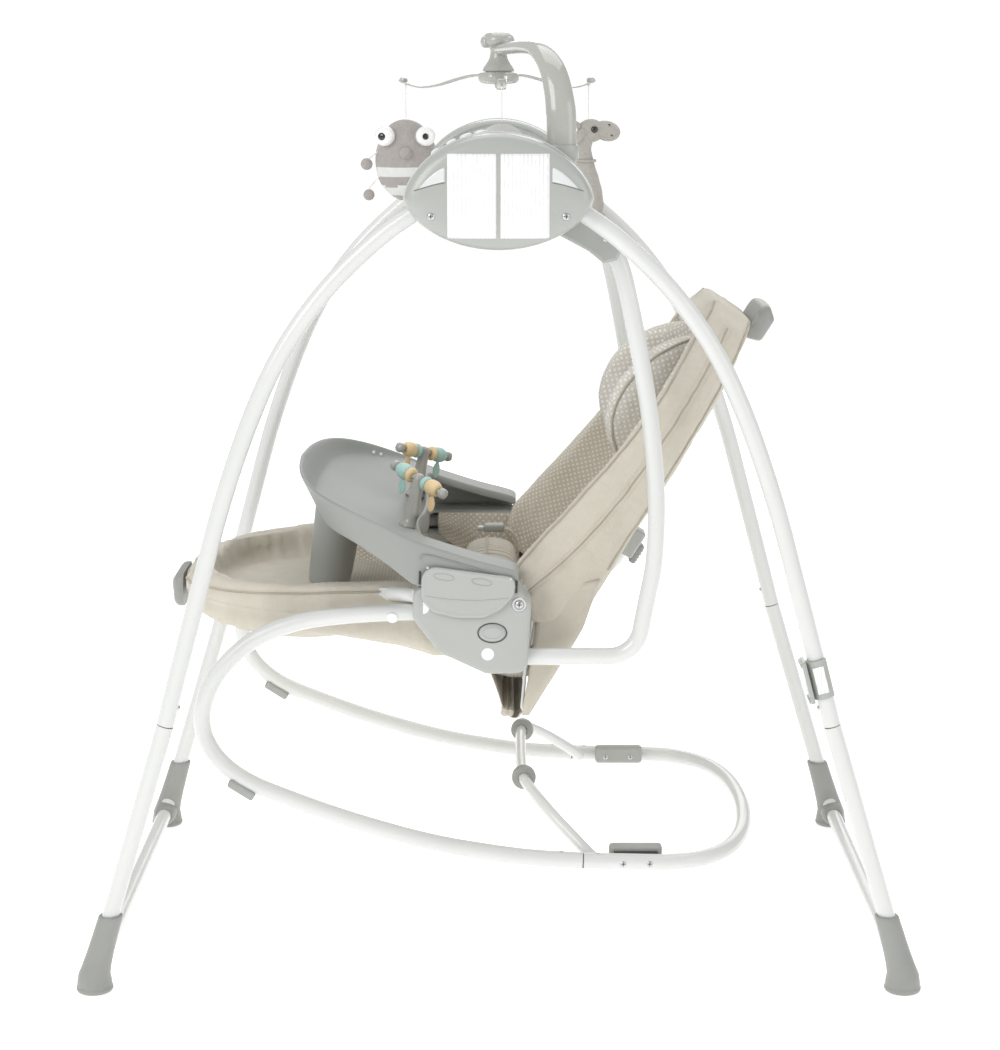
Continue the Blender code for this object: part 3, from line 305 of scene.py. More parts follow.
class Growth:
    """A Geometry Nodes tree with named sizes, run once and kept as a plain mesh."""

    def __init__(self, name, **sizes):
        self.group = bpy.data.node_groups.new(name, "GeometryNodeTree")
        face = self.group.interface
        face.new_socket("Line", in_out="INPUT", socket_type="NodeSocketGeometry")
        face.new_socket("Piece", in_out="OUTPUT", socket_type="NodeSocketGeometry")
        for size, kind in sizes.items():
            face.new_socket(size, in_out="INPUT", socket_type="NodeSocket" + kind)
        self.sizes = self.group.nodes.new("NodeGroupInput").outputs
        self.end = self.group.nodes.new("NodeGroupOutput").inputs[0]

    def add(self, kind, settings=None, out=0, **ports):
        made = self.group.nodes.new(kind)
        for setting, value in (settings or {}).items():
            setattr(made, setting, value)
        for port, value in ports.items():
            socket = next(s for s in made.inputs if s.name == port.replace("_", " ") and s.enabled)
            if isinstance(value, bpy.types.NodeSocket):
                self.group.links.new(value, socket)
            else:
                socket.default_value = value
        return [s for s in made.outputs if s.enabled][out]

    def close(self, shape):
        whole = self.add("GeometryNodeRealizeInstances", Geometry=shape)
        smooth = self.add("GeometryNodeSetShadeSmooth", Geometry=whole, Shade_Smooth=True)
        self.group.links.new(self.add("GeometryNodeSetMaterial", Geometry=smooth,
                                      Material=self.sizes["Finish"]), self.end)
        return self

    def grow(self, name, mesh, **sizes):
        piece = bpy.data.objects.new(name, mesh)
        scene.collection.objects.link(piece)
        rule = piece.modifiers.new("rule", "NODES")
        rule.node_group = self.group
        for item in self.group.interface.items_tree:
            if item.in_out == "INPUT" and item.name in sizes:
                rule[item.identifier] = sizes[item.name]
        piece.update_tag()
        ready = piece.evaluated_get(bpy.context.evaluated_depsgraph_get())
        shape = bpy.data.meshes.new_from_object(ready)
        piece.modifiers.clear()
        piece.data = shape
        shape.name = name
        return piece


bent_tube = Growth("bent_tube", Radius="Float", Facets="Int", Finish="Material")
bent_tube.close(bent_tube.add(
    "GeometryNodeCurveToMesh", Curve=bent_tube.add("GeometryNodeMeshToCurve", Mesh=bent_tube.sizes["Line"]),
    Profile_Curve=bent_tube.add("GeometryNodeCurvePrimitiveCircle", Resolution=bent_tube.sizes["Facets"],
                                Radius=bent_tube.sizes["Radius"]), Fill_Caps=True))


def path_mesh(points, closed=False):
    mesh = bpy.data.meshes.new("path")
    n = len(points)
    mesh.from_pydata([tuple(p) for p in points], [(i, (i + 1) % n) for i in range(n - (not closed))], [])
    return mesh


def tube(name, points, radius, finish, body, *stands_for, facets=28, closed=False):
    """Tube of one radius along a line, on a body, in place of its plain CAD nodes."""
    piece = bent_tube.grow(name, path_mesh(points, closed), Radius=radius, Facets=facets,
                           Finish=finish.material)
    piece.data.set_sharp_from_angle(angle=math.radians(50))
    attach(piece, body)
    if stands_for:
        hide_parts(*stands_for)
    return piece


def leg_line(sx, y):
    seam = Vector((sx * LEG_SEAM[0], y, LEG_SEAM[1]))
    way = Vector((SEAM_WAY.x * sx, 0, SEAM_WAY.z))
    toe = Vector((sx * LEG_BEND[0][0], y, LEG_BEND[0][1]))
    return eased([(sx * x, y, z) for x, z in LEG_BEND] + [tuple(seam - way * 0.060)]) + [seam], seam, way


leg_seam = {}
for end, sx in ENDS:
    for side, sy in SIDES:
        line, seam, way = leg_line(sx, sy * LEG_PLANE)
        leg_seam[end, side] = (seam, way)
        tube("leg_tube_%s_%s" % (end, side), line, TUBE, white_paint, "stand", "leg_%s_%s" % (end, side))
        # the dark gap of the plug-in seam
    (near, way), (far, _) = leg_seam[end, "near"], leg_seam[end, "far"]
    foot_near, foot_far = Vector((sx * 0.449, -LEG_PLANE, FLOOR_BAR_Z)), Vector((sx * 0.449, LEG_PLANE,
                                                                FLOOR_BAR_Z))
    fall = (foot_near - near).normalized()
    line = [near + fall * 0.0012] + rounded_corner(near, foot_near, foot_far, 0.036) + \
        rounded_corner(foot_near, foot_far, far, 0.036) + \
        [far + Vector((fall.x, 0, fall.z)) * 0.0012]
    tube("base_tube_" + end, line, TUBE, white_paint, "stand", end + "_base_tube")

# ---------------------------------------------------------------- seams
# Where two tubes plug together a narrow dark gap shows; each leg seam is held
# by a sprung steel button that stands through a round hole in the tube.
seam_shadow = Finish("dark_seam_gap", (0.16, 0.16, 0.15), 0.8)
seam_shadow.set(Base_Color=seam_shadow.tint(seam_shadow.noise(300.0), (0.13, 0.13, 0.12),
                                            (0.24, 0.24, 0.23)))
for (end, side), (seam, way) in leg_seam.items():
    tube("leg_seam_%s_%s" % (end, side), [seam - way * 0.0001, seam + way * 0.0014], TUBE - 0.0009,
         seam_shadow, "stand")

bare_steel = Finish("bright_zinc_steel", (0.56, 0.56, 0.57), 0.28, Metallic=1.0)
brushed = bare_steel.noise(900.0, 3.0)
bare_steel.set(Base_Color=bare_steel.tint(brushed, (0.50, 0.50, 0.51), (0.66, 0.66, 0.66)),
               Roughness=brushed * 0.2 + 0.2, Normal=bare_steel.relief(brushed, 0.00004))
for end, _ in ENDS:
    for side, _ in SIDES:
        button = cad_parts["snap_button_%s_%s" % (end, side)]
        for place in button.material_slots:
            place.material = bare_steel.material

# ---------------------------------------------------------------- foot caps
# Soft grey plastic boots pushed over the corners of the lower tubes.  Each
# flares to a round sole with a moulded step round its edge.
boot_plastic = Finish("grey_boot_plastic", (0.305, 0.31, 0.287), 0.42, Specular_IOR_Level=0.45)
pebble = boot_plastic.noise(1400.0, 2.0)
drift = boot_plastic.noise(25.0, 4.0)
boot_plastic.set(
    Base_Color=boot_plastic.tint(drift, (0.275, 0.282, 0.262), (0.335, 0.34, 0.318)),
    Roughness=drift * 0.16 + 0.34,
    Normal=boot_plastic.relief(pebble, 0.00008, boot_plastic.relief(drift, 0.0006)))


def join_rings(rings, start="cap", end="cap", closed=False):
    """Vertices and faces of a skin over rings of points."""
    n = len(rings[0])
    verts = [tuple(p) for ring in rings for p in ring]
    faces = [(k * n + i, k * n + (i + 1) % n, (k + 1) % len(rings) * n + (i + 1) % n,
              (k + 1) % len(rings) * n + i)
             for k in range(len(rings) - (not closed)) for i in range(n)]
    for at, way in () if closed else ((0, start), (len(rings) - 1, end)):
        if way == "cap":
            middle = [sum(c) / n for c in zip(*rings[at])]
            verts.append(tuple(middle))
            faces += [(at * n + i, at * n + (i + 1) % n, len(verts) - 1) for i in range(n)]
    return verts, faces


def solid(name, verts, faces, finish, body, *stands_for, sharp=40, smooth=0):
    """A closed or open shell with its faces outwards, on a body."""
    shell = bmesh.new()
    points = [shell.verts.new(v) for v in verts]
    for face in faces:
        shell.faces.new([points[i] for i in face])
    bmesh.ops.remove_doubles(shell, verts=shell.verts, dist=1e-6)
    bmesh.ops.recalc_face_normals(shell, faces=shell.faces)
    for face in shell.faces:
        face.smooth = True
    mesh = bpy.data.meshes.new(name)
    shell.to_mesh(mesh)
    shell.free()
    mesh.materials.append(finish.material)
    piece = bpy.data.objects.new(name, mesh)
    scene.collection.objects.link(piece)
    if smooth:
        rounder = piece.modifiers.new("round", "SUBSURF")
        rounder.levels = rounder.render_levels = smooth
    else:
        mesh.set_sharp_from_angle(angle=math.radians(sharp))
    if body:
        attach(piece, body)
    if stands_for:
        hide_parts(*stands_for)
    return piece


def ellipse(centre, u, v, ru, rv, n):
    return [centre + u * (ru * math.cos(math.tau * i / n)) + v * (rv * math.sin(math.tau * i / n))
            for i in range(n)]


EAST, NORTH, UP = Vector((1, 0, 0)), Vector((0, 1, 0)), Vector((0, 0, 1))


def turned(name, origin, axis, profile, finish, body, *stands_for, n=40, sharp=40, closed=False):
    """A lathed piece: profile of (radius, height) pairs about an axis."""
    axis = Vector(axis).normalized()
    u = (EAST - axis * axis.x) if abs(axis.x) < 0.9 else (NORTH - axis * axis.y)
    u.normalize()
    rings = [ellipse(Vector(origin) + axis * h, u, axis.cross(u), r, r, n) for r, h in profile]
    return solid(name, *join_rings(rings, closed=closed), finish, body, *stands_for, sharp=sharp)


BOOT = [(0.000, 0.0178), (0.0008, 0.0192), (0.0025, 0.0203), (0.0050, 0.0203), (0.0060, 0.0196),
        (0.0075, 0.0194),
        (0.012, 0.0190), (0.020, 0.0177), (0.030, 0.0163), (0.045, 0.0151), (0.065, 0.0142),
        (0.082, 0.0136),
        (0.0862, 0.0134), (0.0876, 0.0127), (0.0880, 0.0112), (0.0872, 0.0099)]
for end, sx in ENDS:
    for side, sy in SIDES:
        foot = Vector((sx * 0.449, sy * LEG_PLANE, 0))
        lean = (leg_seam[end, side][0].x - foot.x) / (leg_seam[end, side][0].z - FLOOR_BAR_Z)
        rings = [ellipse(foot + Vector((lean * max(z - FLOOR_BAR_Z, 0), 0, z)), EAST, NORTH, r, r, 44)
                 for z, r in BOOT]
        solid("foot_boot_%s_%s" % (end, side), *join_rings(rings), boot_plastic, "stand",
              "foot_cap_%s_%s" % (end, side), sharp=55)
        # glossy round boss where the boot grips the floor bar
        inner = foot + Vector((0, -sy * 0.0165, FLOOR_BAR_Z))
        turned("boot_sleeve_%s_%s" % (end, side), inner, (0, -sy, 0),
               [(0.0150, -0.004), (0.0150, 0.004), (0.0142, 0.010), (0.0122, 0.0165), (0.0112, 0.0175),
                (0.0097, 0.0172)],
               boot_plastic, "stand")

# ---------------------------------------------------------------- drive hubs
# Each side has a two-part moulded hub that takes both legs: a domed outer
# cover, fixed by two cross-head screws, and a flatter inner cover.
hub_plastic = Finish("hub_grey_plastic", (0.40, 0.415, 0.39), 0.30, Coat_Weight=0.25, Coat_Roughness=0.12)
flow = hub_plastic.noise(9.0, 3.0)
spark = hub_plastic.noise(1500.0, 2.0)
rub = hub_plastic.ramp(hub_plastic.noise(85.0, 7.0), (0.64, 0.0), (0.75, 1.0))
hub_plastic.set(
    Base_Color=hub_plastic.tint(rub * 0.3, hub_plastic.tint(flow, (0.385, 0.40, 0.375),
                                                            (0.425, 0.44, 0.412)),
                                (0.50, 0.51, 0.49)),
    Roughness=flow * 0.12 + rub * 0.1 + 0.22, Normal=hub_plastic.relief(spark, 0.00005))

HUB_HALF, HUB_MIDDLE = 0.0985, 0.880


def hub_edge(t):
    s = math.sin(t)
    return (HUB_HALF * math.cos(t), 0.874 + (0.068 if s > 0 else 0.053) * math.copysign(abs(s) ** 1.25, s))


def hub_ring(share, y, n=112):
    return [Vector((x * share, y, HUB_MIDDLE + (z - HUB_MIDDLE) * share))
            for x, z in (hub_edge(math.tau * k / n) for k in range(n))]


DOME = [(1.0, 0.0002), (1.0, 0.0130), (0.9985, 0.0160), (0.993, 0.0195), (0.983, 0.0235), (0.970, 0.0262),
        (0.945, 0.0282),
        (0.910, 0.0301), (0.87, 0.0315), (0.80, 0.0327), (0.70, 0.0338), (0.55, 0.0347), (0.35, 0.0349),
        (0.15, 0.0350)]


def on_dome(x, z, lift=0.0):
    """Point of the near outer cover above x, z."""
    t = math.atan2(z - HUB_MIDDLE, x)
    low, high = 0.0, 1.3
    best = min((abs(math.atan2(q[1] - HUB_MIDDLE, q[0]) - t), q)
               for q in (hub_edge(math.tau * k / 720) for k in range(720)))[1]
    share = math.hypot(x, z - HUB_MIDDLE) / math.hypot(best[0], best[1] - HUB_MIDDLE)
    depth = DOME[-1][1]
    for (s0, d0), (s1, d1) in zip(DOME[1:], DOME[2:]):
        if s1 <= share <= s0:
            depth = d0 + (d1 - d0) * (s0 - share) / max(s0 - s1, 1e-6)
    return Vector((x, -LEG_PLANE - depth - lift, z))


for side, sy in SIDES:
    mid = sy * LEG_PLANE
    inside = [hub_ring(s, mid + sy * d) for s, d in ((0.965, 0.0165), (0.970, 0.0002))]
    outer = [hub_ring(s, mid + sy * d) for s, d in DOME]
    solid("hub_outer_shell_" + side, *join_rings([inside[1]] + outer, start=""), hub_plastic, "stand",
          "hub_outer_" + side, sharp=60)
    back = [(1.0, 0.0002), (1.0, 0.0240), (0.997, 0.0275), (0.988, 0.0312), (0.975, 0.0330),
            (0.955, 0.0341), (0.90, 0.0350),
            (0.60, 0.0350)]
    if side == "far":
        # the far cover shows its raised rim to the camera
        back = back[:-2] + [(0.930, 0.0350), (0.905, 0.0348), (0.890, 0.0335), (0.870, 0.0325),
                            (0.60, 0.0325)]
    solid("hub_inner_shell_" + side,
          *join_rings([hub_ring(0.970, mid - sy * 0.0002)] + [hub_ring(s, mid - sy * d) for s, d in back],
                      start=""),
          hub_plastic, "stand", "hub_inner_" + side, sharp=60)

# A thin pale line runs round the joint of the covers.
pale_cover_line = Finish("pale_cover_joint_line", (0.62, 0.63, 0.60), 0.5)
pale_cover_line.set(Base_Color=pale_cover_line.tint(pale_cover_line.noise(80.0), (0.58, 0.59, 0.56), (0.68, 0.69, 0.66)),
             Normal=pale_cover_line.relief(pale_cover_line.noise(700.0), 0.00005))
for side, sy in SIDES:
    tube("hub_lip_" + side, hub_ring(1.002, sy * (LEG_PLANE + 0.0004)), 0.0011, pale_cover_line, "stand",
         facets=8, closed=True)

# Blank paper data labels, ruled with faint lines, and beside them pale
# crescents whose light colour is a painted highlight on the moulded step.
label_paper = Finish("white_label_paper", (0.74, 0.74, 0.74), 0.35, Coat_Weight=0.2)
ruling = label_paper.node("ShaderNodeTexWave", {"bands_direction": "X"}, Vector=label_paper.here,
                          Scale=78.0)
faint = label_paper.ramp(ruling, (0.55, 0.0), (0.95, 1.0))
uneven = label_paper.ramp(label_paper.noise(120.0, 2.0), (0.42, 0.0), (0.52, 1.0))
label_paper.set(Base_Color=label_paper.tint(faint * uneven * 0.5, (0.87, 0.87, 0.88), (0.60, 0.60, 0.62)),
                Normal=label_paper.relief(label_paper.noise(400.0), 0.00003))
# pale glossy paint for the crescents: its light colour is a painted highlight
step_highlight_paint = Finish("painted_step_highlight", (0.62, 0.64, 0.63), 0.08, Coat_Weight=1.0, Coat_Roughness=0.03)
step_highlight_paint.set(Base_Color=step_highlight_paint.tint(step_highlight_paint.noise(30.0), (0.66, 0.68, 0.67),
                                            (0.78, 0.79, 0.79)),
                Roughness=step_highlight_paint.noise(50.0) * 0.08 + 0.06)


def patch(name, outline_at, finish, lift, nu=16, nv=24, thick=0.00015):
    """A thin sheet laid on the domed cover; outline_at(u, v) gives x and z."""
    verts = [on_dome(*outline_at(i / nu, j / nv), lift) for j in range(nv + 1) for i in range(nu + 1)]
    faces = [(j * (nu + 1) + i, j * (nu + 1) + i + 1, (j + 1) * (nu + 1) + i + 1, (j + 1) * (nu + 1) + i)
             for j in range(nv) for i in range(nu)]
    piece = solid(name, verts, faces, finish, None, sharp=60)
    wall = piece.modifiers.new("thickness", "SOLIDIFY")
    wall.thickness, wall.offset = thick, 0.0
    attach(piece, "stand")
    return piece


for tag, x0, x1 in (("left", -0.0530, -0.0022), ("right", 0.0020, 0.0528)):
    patch("data_label_" + tag, lambda u, v: (x0 + (x1 - x0) * u, 0.8345 + 0.087 * v), label_paper, 0.00025)
for tag, s in (("left", -1), ("right", 1)):
    def crescent(u, v):
        x = 0.0555 + 0.0275 * u
        top = 0.9075 - 0.0225 * u ** 1.5
        low = 0.8925 - 0.0080 * u ** 1.2
        return s * x, low + (top - low) * v
    patch("glossy_crescent_" + tag, crescent, step_highlight_paint, 0.0003, 14, 6)
    # a dark line of painted shade along the groove under each crescent
    ridge = [on_dome(s * (0.0555 + 0.032 * k / 14), 0.8918 - 0.0085 * (k / 14) ** 1.3, 0.0002)
             for k in range(15)]
    tube("crescent_ridge_" + tag, ridge, 0.00055, seam_shadow, "stand", facets=8)

# Cross-head screws, one round head used everywhere: on the near and far
# covers, on the housings and on the runner blocks.
head = bmesh.new()
profile = [(0.0, 0.30), (0.35, 0.30), (0.62, 0.24), (0.86, 0.10), (1.0, -0.12), (1.0, -0.3)]
rows = [[head.verts.new((r * math.cos(math.tau * i / 24), r * math.sin(math.tau * i / 24), h))
         for i in range(24)]
        for r, h in profile[1:]]
middle = head.verts.new((0, 0, 0.30))
for i in range(24):
    head.faces.new((middle, rows[0][i], rows[0][(i + 1) % 24]))
    for a, b in zip(rows, rows[1:]):
        head.faces.new((a[i], b[i], b[(i + 1) % 24], a[(i + 1) % 24]))
screw_mesh = bpy.data.meshes.new("screw_head")
head.to_mesh(screw_mesh)
head.free()
screw_form = bpy.data.objects.new("screw_form", screw_mesh)
cross_mesh = bpy.data.meshes.new("screw_cross")
cross_mesh.from_pydata([(x * a + y * b, x * b - y * a, z) for a, b in ((1, 0), (0, 1)) for z in (0.31, 0.20)
                        for x, y in ((-0.55, -0.11), (0.55, -0.11), (0.55, 0.11), (-0.55, 0.11))], [],
                       [f for o in (0, 8) for f in ((o, o + 1, o + 2, o + 3), (o + 4, o + 7, o + 6, o + 5),
                                                    (o, o + 4, o + 5, o + 1), (o + 1, o + 5, o + 6, o + 2),
                                                    (o + 2, o + 6, o + 7, o + 3), (o + 3, o + 7, o + 4,
                                                                o))])
cross_form = bpy.data.objects.new("cross_form", cross_mesh)

set_out = Growth("set_out_on_points", Form="Object", Size="Float", Finish="Material")
set_out.close(set_out.add(
    "GeometryNodeInstanceOnPoints", Points=set_out.add("GeometryNodeMeshToPoints",
                                                       Mesh=set_out.sizes["Line"]),
    Instance=set_out.add("GeometryNodeObjectInfo", out=4, Object=set_out.sizes["Form"]),
    Rotation=set_out.add("FunctionNodeAlignRotationToVector", {"axis": "Z"},
                         Vector=set_out.add("GeometryNodeInputNamedAttribute",
                                            {"data_type": "FLOAT_VECTOR"},
                                            Name="facing")),
    Scale=set_out.sizes["Size"]))


def set_on(name, form, places, size, finish, body, turn=None):
    """Copies of a small form on points, each facing its own way, as one mesh."""
    mesh = bpy.data.meshes.new(name)
    mesh.from_pydata([tuple(p) for p, _ in places], [], [])
    facing = mesh.attributes.new("facing", "FLOAT_VECTOR", "POINT")
    for row, (_, way) in zip(facing.data, places):
        row.vector = way
    piece = set_out.grow(name, mesh, Form=form, Size=size, Finish=finish.material)
    for old in list(piece.data.attributes):
        if old.name == "facing":
            piece.data.attributes.remove(old)
    piece.data.set_sharp_from_angle(angle=math.radians(40))
    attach(piece, body)
    return piece


# near-black finish: real colour on the lamp window, painted shade in the screw crosses, grooves, slots and
# serrated block edges
lamp_black_and_recess_shade = Finish("dark_lamp_and_recess_shade", (0.05, 0.05, 0.05), 0.6)
lamp_black_and_recess_shade.set(Base_Color=lamp_black_and_recess_shade.tint(lamp_black_and_recess_shade.noise(900.0), (0.03, 0.03, 0.03), (0.09, 0.09, 0.09)))


def screws(name, places, size, body):
    set_on(name, screw_form, places, size, bare_steel, body)
    # the dark cross on each head is painted shade of the cross recess
    set_on(name + "_recess", cross_form, places, size, lamp_black_and_recess_shade, body)


screws("hub_screws_near", [(on_dome(sx * 0.070, 0.857, 0.0004), (sx * 0.12, -1, -0.08)) for sx in (-1, 1)],
       0.0042, "stand")
screws("hub_screws_far", [(Vector((sx * 0.070, -on_dome(sx * 0.070, 0.857, 0.0004).y, 0.857)),
                           (sx * 0.12, 1, -0.08))
                          for sx in (-1, 1)], 0.0042, "stand")
set_on("hub_screw_wells", screw_form, [(on_dome(sx * 0.070, 0.857, -0.0016), (sx * 0.12, -1, -0.08))
                                       for sx in (-1, 1)],
       0.0056, seam_shadow, "stand")

# ---------------------------------------------------------------- hub buttons
# A row of soft white keys and one dark lamp window sit along the top edge of
# the near inner cover; the mobile arm stands in a grey collar beside them.
key_plastic = Finish("soft_white_key", (0.80, 0.81, 0.80), 0.35, Coat_Weight=0.3)
key_plastic.set(Base_Color=key_plastic.tint(key_plastic.noise(60.0), (0.76, 0.77, 0.76),
                                            (0.84, 0.85, 0.84)),
                Normal=key_plastic.relief(key_plastic.noise(900.0), 0.00005))


def edge_of_hub(x):
    """Top edge of the hub at x, and the way it faces."""
    t = math.acos(x / HUB_HALF)
    a, b = hub_edge(t - 0.01), hub_edge(t + 0.01)
    way = Vector((a[1] - b[1], 0, b[0] - a[0]))
    way = -way if way.z < 0 else way
    return Vector((x, -LEG_PLANE + 0.016, hub_edge(t)[1])), way.normalized()


for i, (x, r) in enumerate(((-0.0660, 0.0050), (-0.0340, 0.0068), (-0.0190, 0.0068))):
    at, way = edge_of_hub(x)
    turned("volume_key_%d" % (i + 1), at - way * 0.002, way,
           [(r * 0.98, 0), (r, 0.0030), (r * 0.90, 0.0045), (r * 0.60, 0.0054), (r * 0.2, 0.0057)],
           key_plastic, "stand", n=28)
at, way = edge_of_hub(-0.0425)
turned("lamp_window", at - way * 0.002, way, [(0.0030, 0), (0.0030, 0.0024), (0.0020, 0.0031),
                                              (0.0006, 0.0033)],
       lamp_black_and_recess_shade, "stand", n=20)
at, way = edge_of_hub(-0.0492)
turned("power_key", at - way * 0.0050, way,
       [(0.0059, 0), (0.0059, 0.0055), (0.0056, 0.0068), (0.0046, 0.0078), (0.0026, 0.0083),
        (0.0008, 0.0084)],
       key_plastic, "power", "power_button", n=32)

# ---------------------------------------------------------------- swing arms
# J-shaped painted tubes carry the seat; each hangs from a moulded bracket on
# the hub shaft and ends inside the side housing.
ARM_PLANE, RAIL_PLANE = 0.235, 0.220
arm_grey = Finish("bracket_grey_plastic", (0.40, 0.41, 0.385), 0.40)
mottle = arm_grey.noise(30.0, 4.0)
arm_grey.set(Base_Color=arm_grey.tint(mottle, (0.37, 0.38, 0.355), (0.43, 0.44, 0.415)),
             Roughness=mottle * 0.15 + 0.32,
             Normal=arm_grey.relief(arm_grey.noise(1200.0), 0.00006))
J_BEND = [(0.103, 0.838), (0.1165, 0.824), (0.131, 0.799), (0.143, 0.752), (0.156, 0.688), (0.166, 0.625),
          (0.173, 0.545), (0.1715, 0.475), (0.163, 0.425)]
for side, sy in SIDES:
    y = sy * ARM_PLANE
    elbow = rounded_corner((0.163, y, 0.425), (0.152, y, 0.3655), (0.02, y, 0.3655), 0.036, 14)
    line = eased([(x, y, z) for x, z in J_BEND])[:-1] + elbow + [(-0.012, y, 0.3655)]
    tube("swing_arm_tube_" + side, line, TUBE, white_paint, "arms", "swing_arm_" + side)
    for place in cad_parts["arm_bracket_" + side].material_slots:
        place.material = arm_grey.material
    # moulded socket collar with a rib and a small rivet where the arm enters
    top, way = Vector(line[3]), (Vector(line[3]) - Vector(line[8])).normalized()
    turned("arm_collar_" + side, top - way * 0.004, way,
           [(0.0098, -0.012), (0.0118, -0.0115), (0.0126, -0.010), (0.0126, -0.004), (0.0116, -0.003),
            (0.0116, 0.006),
            (0.0128, 0.007), (0.0128, 0.016), (0.0110, 0.019)], arm_grey, "arms", n=36)
    screws("bracket_screws_" + side, [((x, sy * 0.2622 + sy * 0.0002, z), (0, sy, 0)) for x,
                                      z in ((0.114, 0.829), (0.096, 0.845))],
           0.0034, "arms")

# ---------------------------------------------------------------- rocker base
# Painted 19 mm rails run out of the housings, round the front and back under
# the seat; a rear hoop plugs into both.  Grey pads and blocks are screwed on.
RAIL_BEND = [(-0.111, 0.4125), (-0.167, 0.409), (-0.225, 0.4005), (-0.276, 0.379), (-0.316, 0.339),
             (-0.333, 0.293),
             (-0.322, 0.252), (-0.288, 0.220), (-0.235, 0.196), (-0.160, 0.169), (-0.075, 0.145),
             (0.000, 0.1315),
             (0.045, 0.1262), (0.095, 0.1232)]
for side, sy in SIDES:
    y = sy * RAIL_PLANE
    rail = [(-0.058, y, 0.4130)] + eased([(x, y, z) for x, z in RAIL_BEND], 7)
    tube("rocker_rail_tube_" + side, rail, TUBE, white_paint, "seat", "rocker_rail_" + side)
    tube("rocker_seam_" + side, [(0.0950, y, 0.12320), (0.0966, y, 0.12312)], TUBE - 0.0009, seam_shadow,
         "seat")
HOOP = [(0.190, 0.220, 0.1212), (0.226, 0.210, 0.1212), (0.257, 0.183, 0.1216), (0.278, 0.140, 0.1225),
        (0.291, 0.080, 0.1235), (0.296, 0.0, 0.1240)]
hoop = [(0.0965, -0.220, 0.12315), (0.130, -0.220, 0.1224), (0.162, -0.220, 0.1217)] + \
    eased([(x, -y, z) for x, y, z in HOOP] + [(x, y, z) for x, y, z in HOOP[-2::-1]]) + \
    [(0.162, 0.220, 0.1217), (0.130, 0.220, 0.1224), (0.0965, 0.220, 0.12315)]
tube("rocker_hoop_tube", hoop, TUBE, white_paint, "seat", "rocker_rear_tube")

pad_rubber = Finish("grey_rocker_pad", (0.36, 0.37, 0.345), 0.55)
speck = pad_rubber.noise(700.0, 3.0)
pad_rubber.set(Base_Color=pad_rubber.tint(pad_rubber.noise(40.0), (0.33, 0.34, 0.318), (0.40, 0.41, 0.385)),
               Normal=pad_rubber.relief(speck, 0.00012))


def block(name, centre, along, up, sizes, finish, body, *stands_for, edge=0.002):
    """Rounded moulded block; sizes along, across and up."""
    along = Vector(along).normalized()
    up = (Vector(up) - along * along.dot(Vector(up))).normalized()
    across = up.cross(along)
    a, c, u = (s / 2 for s in sizes)
    verts = [Vector(centre) + along * (a * i) + across * (c * j) + up * (u * k)
             for i in (-1, 1) for j in (-1, 1) for k in (-1, 1)]
    faces = [(0, 1, 3, 2), (4, 6, 7, 5), (0, 4, 5, 1), (2, 3, 7, 6), (0, 2, 6, 4), (1, 5, 7, 3)]
    piece = solid(name, verts, faces, finish, None, sharp=60)
    bevel = piece.modifiers.new("edges", "BEVEL")
    bevel.width, bevel.segments, bevel.harden_normals = edge, 4, False
    shape = bpy.data.meshes.new_from_object(piece.evaluated_get(bpy.context.evaluated_depsgraph_get()))
    piece.modifiers.clear()
    piece.data = shape
    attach(piece, body)
    if stands_for:
        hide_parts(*stands_for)
    return piece


for side, sy in SIDES:
    y = sy * RAIL_PLANE
    way = Vector((0.087, 0, -0.056)).normalized()
    under = Vector((-way.z, 0, way.x)) * -1
    under = under if under.z < 0 else -under
    mid = Vector((-0.284, y, 0.2178))
    block("rocker_pad_" + side, mid + under * 0.0105, way, under, (0.033, 0.022, 0.0100), pad_rubber,
          "seat",
          "rail_pad_" + side, edge=0.0028)
    inner_y = sy * (RAIL_PLANE - TUBE - 0.0085)
    block("rocker_block_" + side, (0.156, inner_y, 0.1262), EAST, UP, (0.0605, 0.0150, 0.0225), pad_rubber,
          "seat",
          "runner_block_" + side, edge=0.0042)
    # the block's serrated lower edge, a thin dark strip of painted shade
    block("block_edge_" + side, (0.156, sy * (RAIL_PLANE - 0.0075), 0.1308), EAST, UP,
          (0.0500, 0.0040, 0.0016),
          lamp_black_and_recess_shade, "seat", edge=0.0004)
    z = 0.1219
    screws("block_screws_" + side, [((x, sy * (RAIL_PLANE + TUBE - 0.0004), z), (0, sy, 0.05))
                                    for x in (0.141, 0.171)],
           0.0040, "seat")
    screws("block_inner_screws_" + side, [((x, inner_y - sy * 0.0076, 0.1240), (0, -sy, 0))
                                          for x in (0.139, 0.171)],
           0.0036, "seat")
    set_on("rail_rivets_" + side, screw_form,
           [((x, y, zz), (0, 0, 1)) for x, zz in ((0.071, 0.1337), (0.112, 0.1319))], 0.0030, bare_steel,
           "seat")

# ---------------------------------------------------------------- kickstand
# A thinner painted bow folds up under the seat between the runners; two grey
# collars on its crossbar stop the bow from rattling.
KICK_TUBE, KICK_Y = 0.0065, RAIL_PLANE - 0.0163
bow = [(0.107, -KICK_Y, 0.1225), (0.094, -KICK_Y + 0.008, 0.1340), (0.062, -KICK_Y + 0.036, 0.1610),
       (0.038, -KICK_Y + 0.070, 0.1810), (0.029, -KICK_Y + 0.100, 0.1870), (0.027, -0.050, 0.1875)]
line = eased(bow)
tube("kickstand_bow", line + [(x, -y, z) for x, y, z in line[::-1]], KICK_TUBE, white_paint, "kickstand",
     "kickstand")
for side, sy in SIDES:
    turned("kickstand_collar_" + side, (0.0295, sy * 0.103, 0.1868), (0.05, sy, -0.03),
           [(0.0068, -0.006), (0.0115, -0.006), (0.0138, -0.0045), (0.0142, -0.0015), (0.0142, 0.0015),
            (0.0138, 0.0045),
            (0.0115, 0.006), (0.0068, 0.006)], boot_plastic, "kickstand", n=36, closed=True)

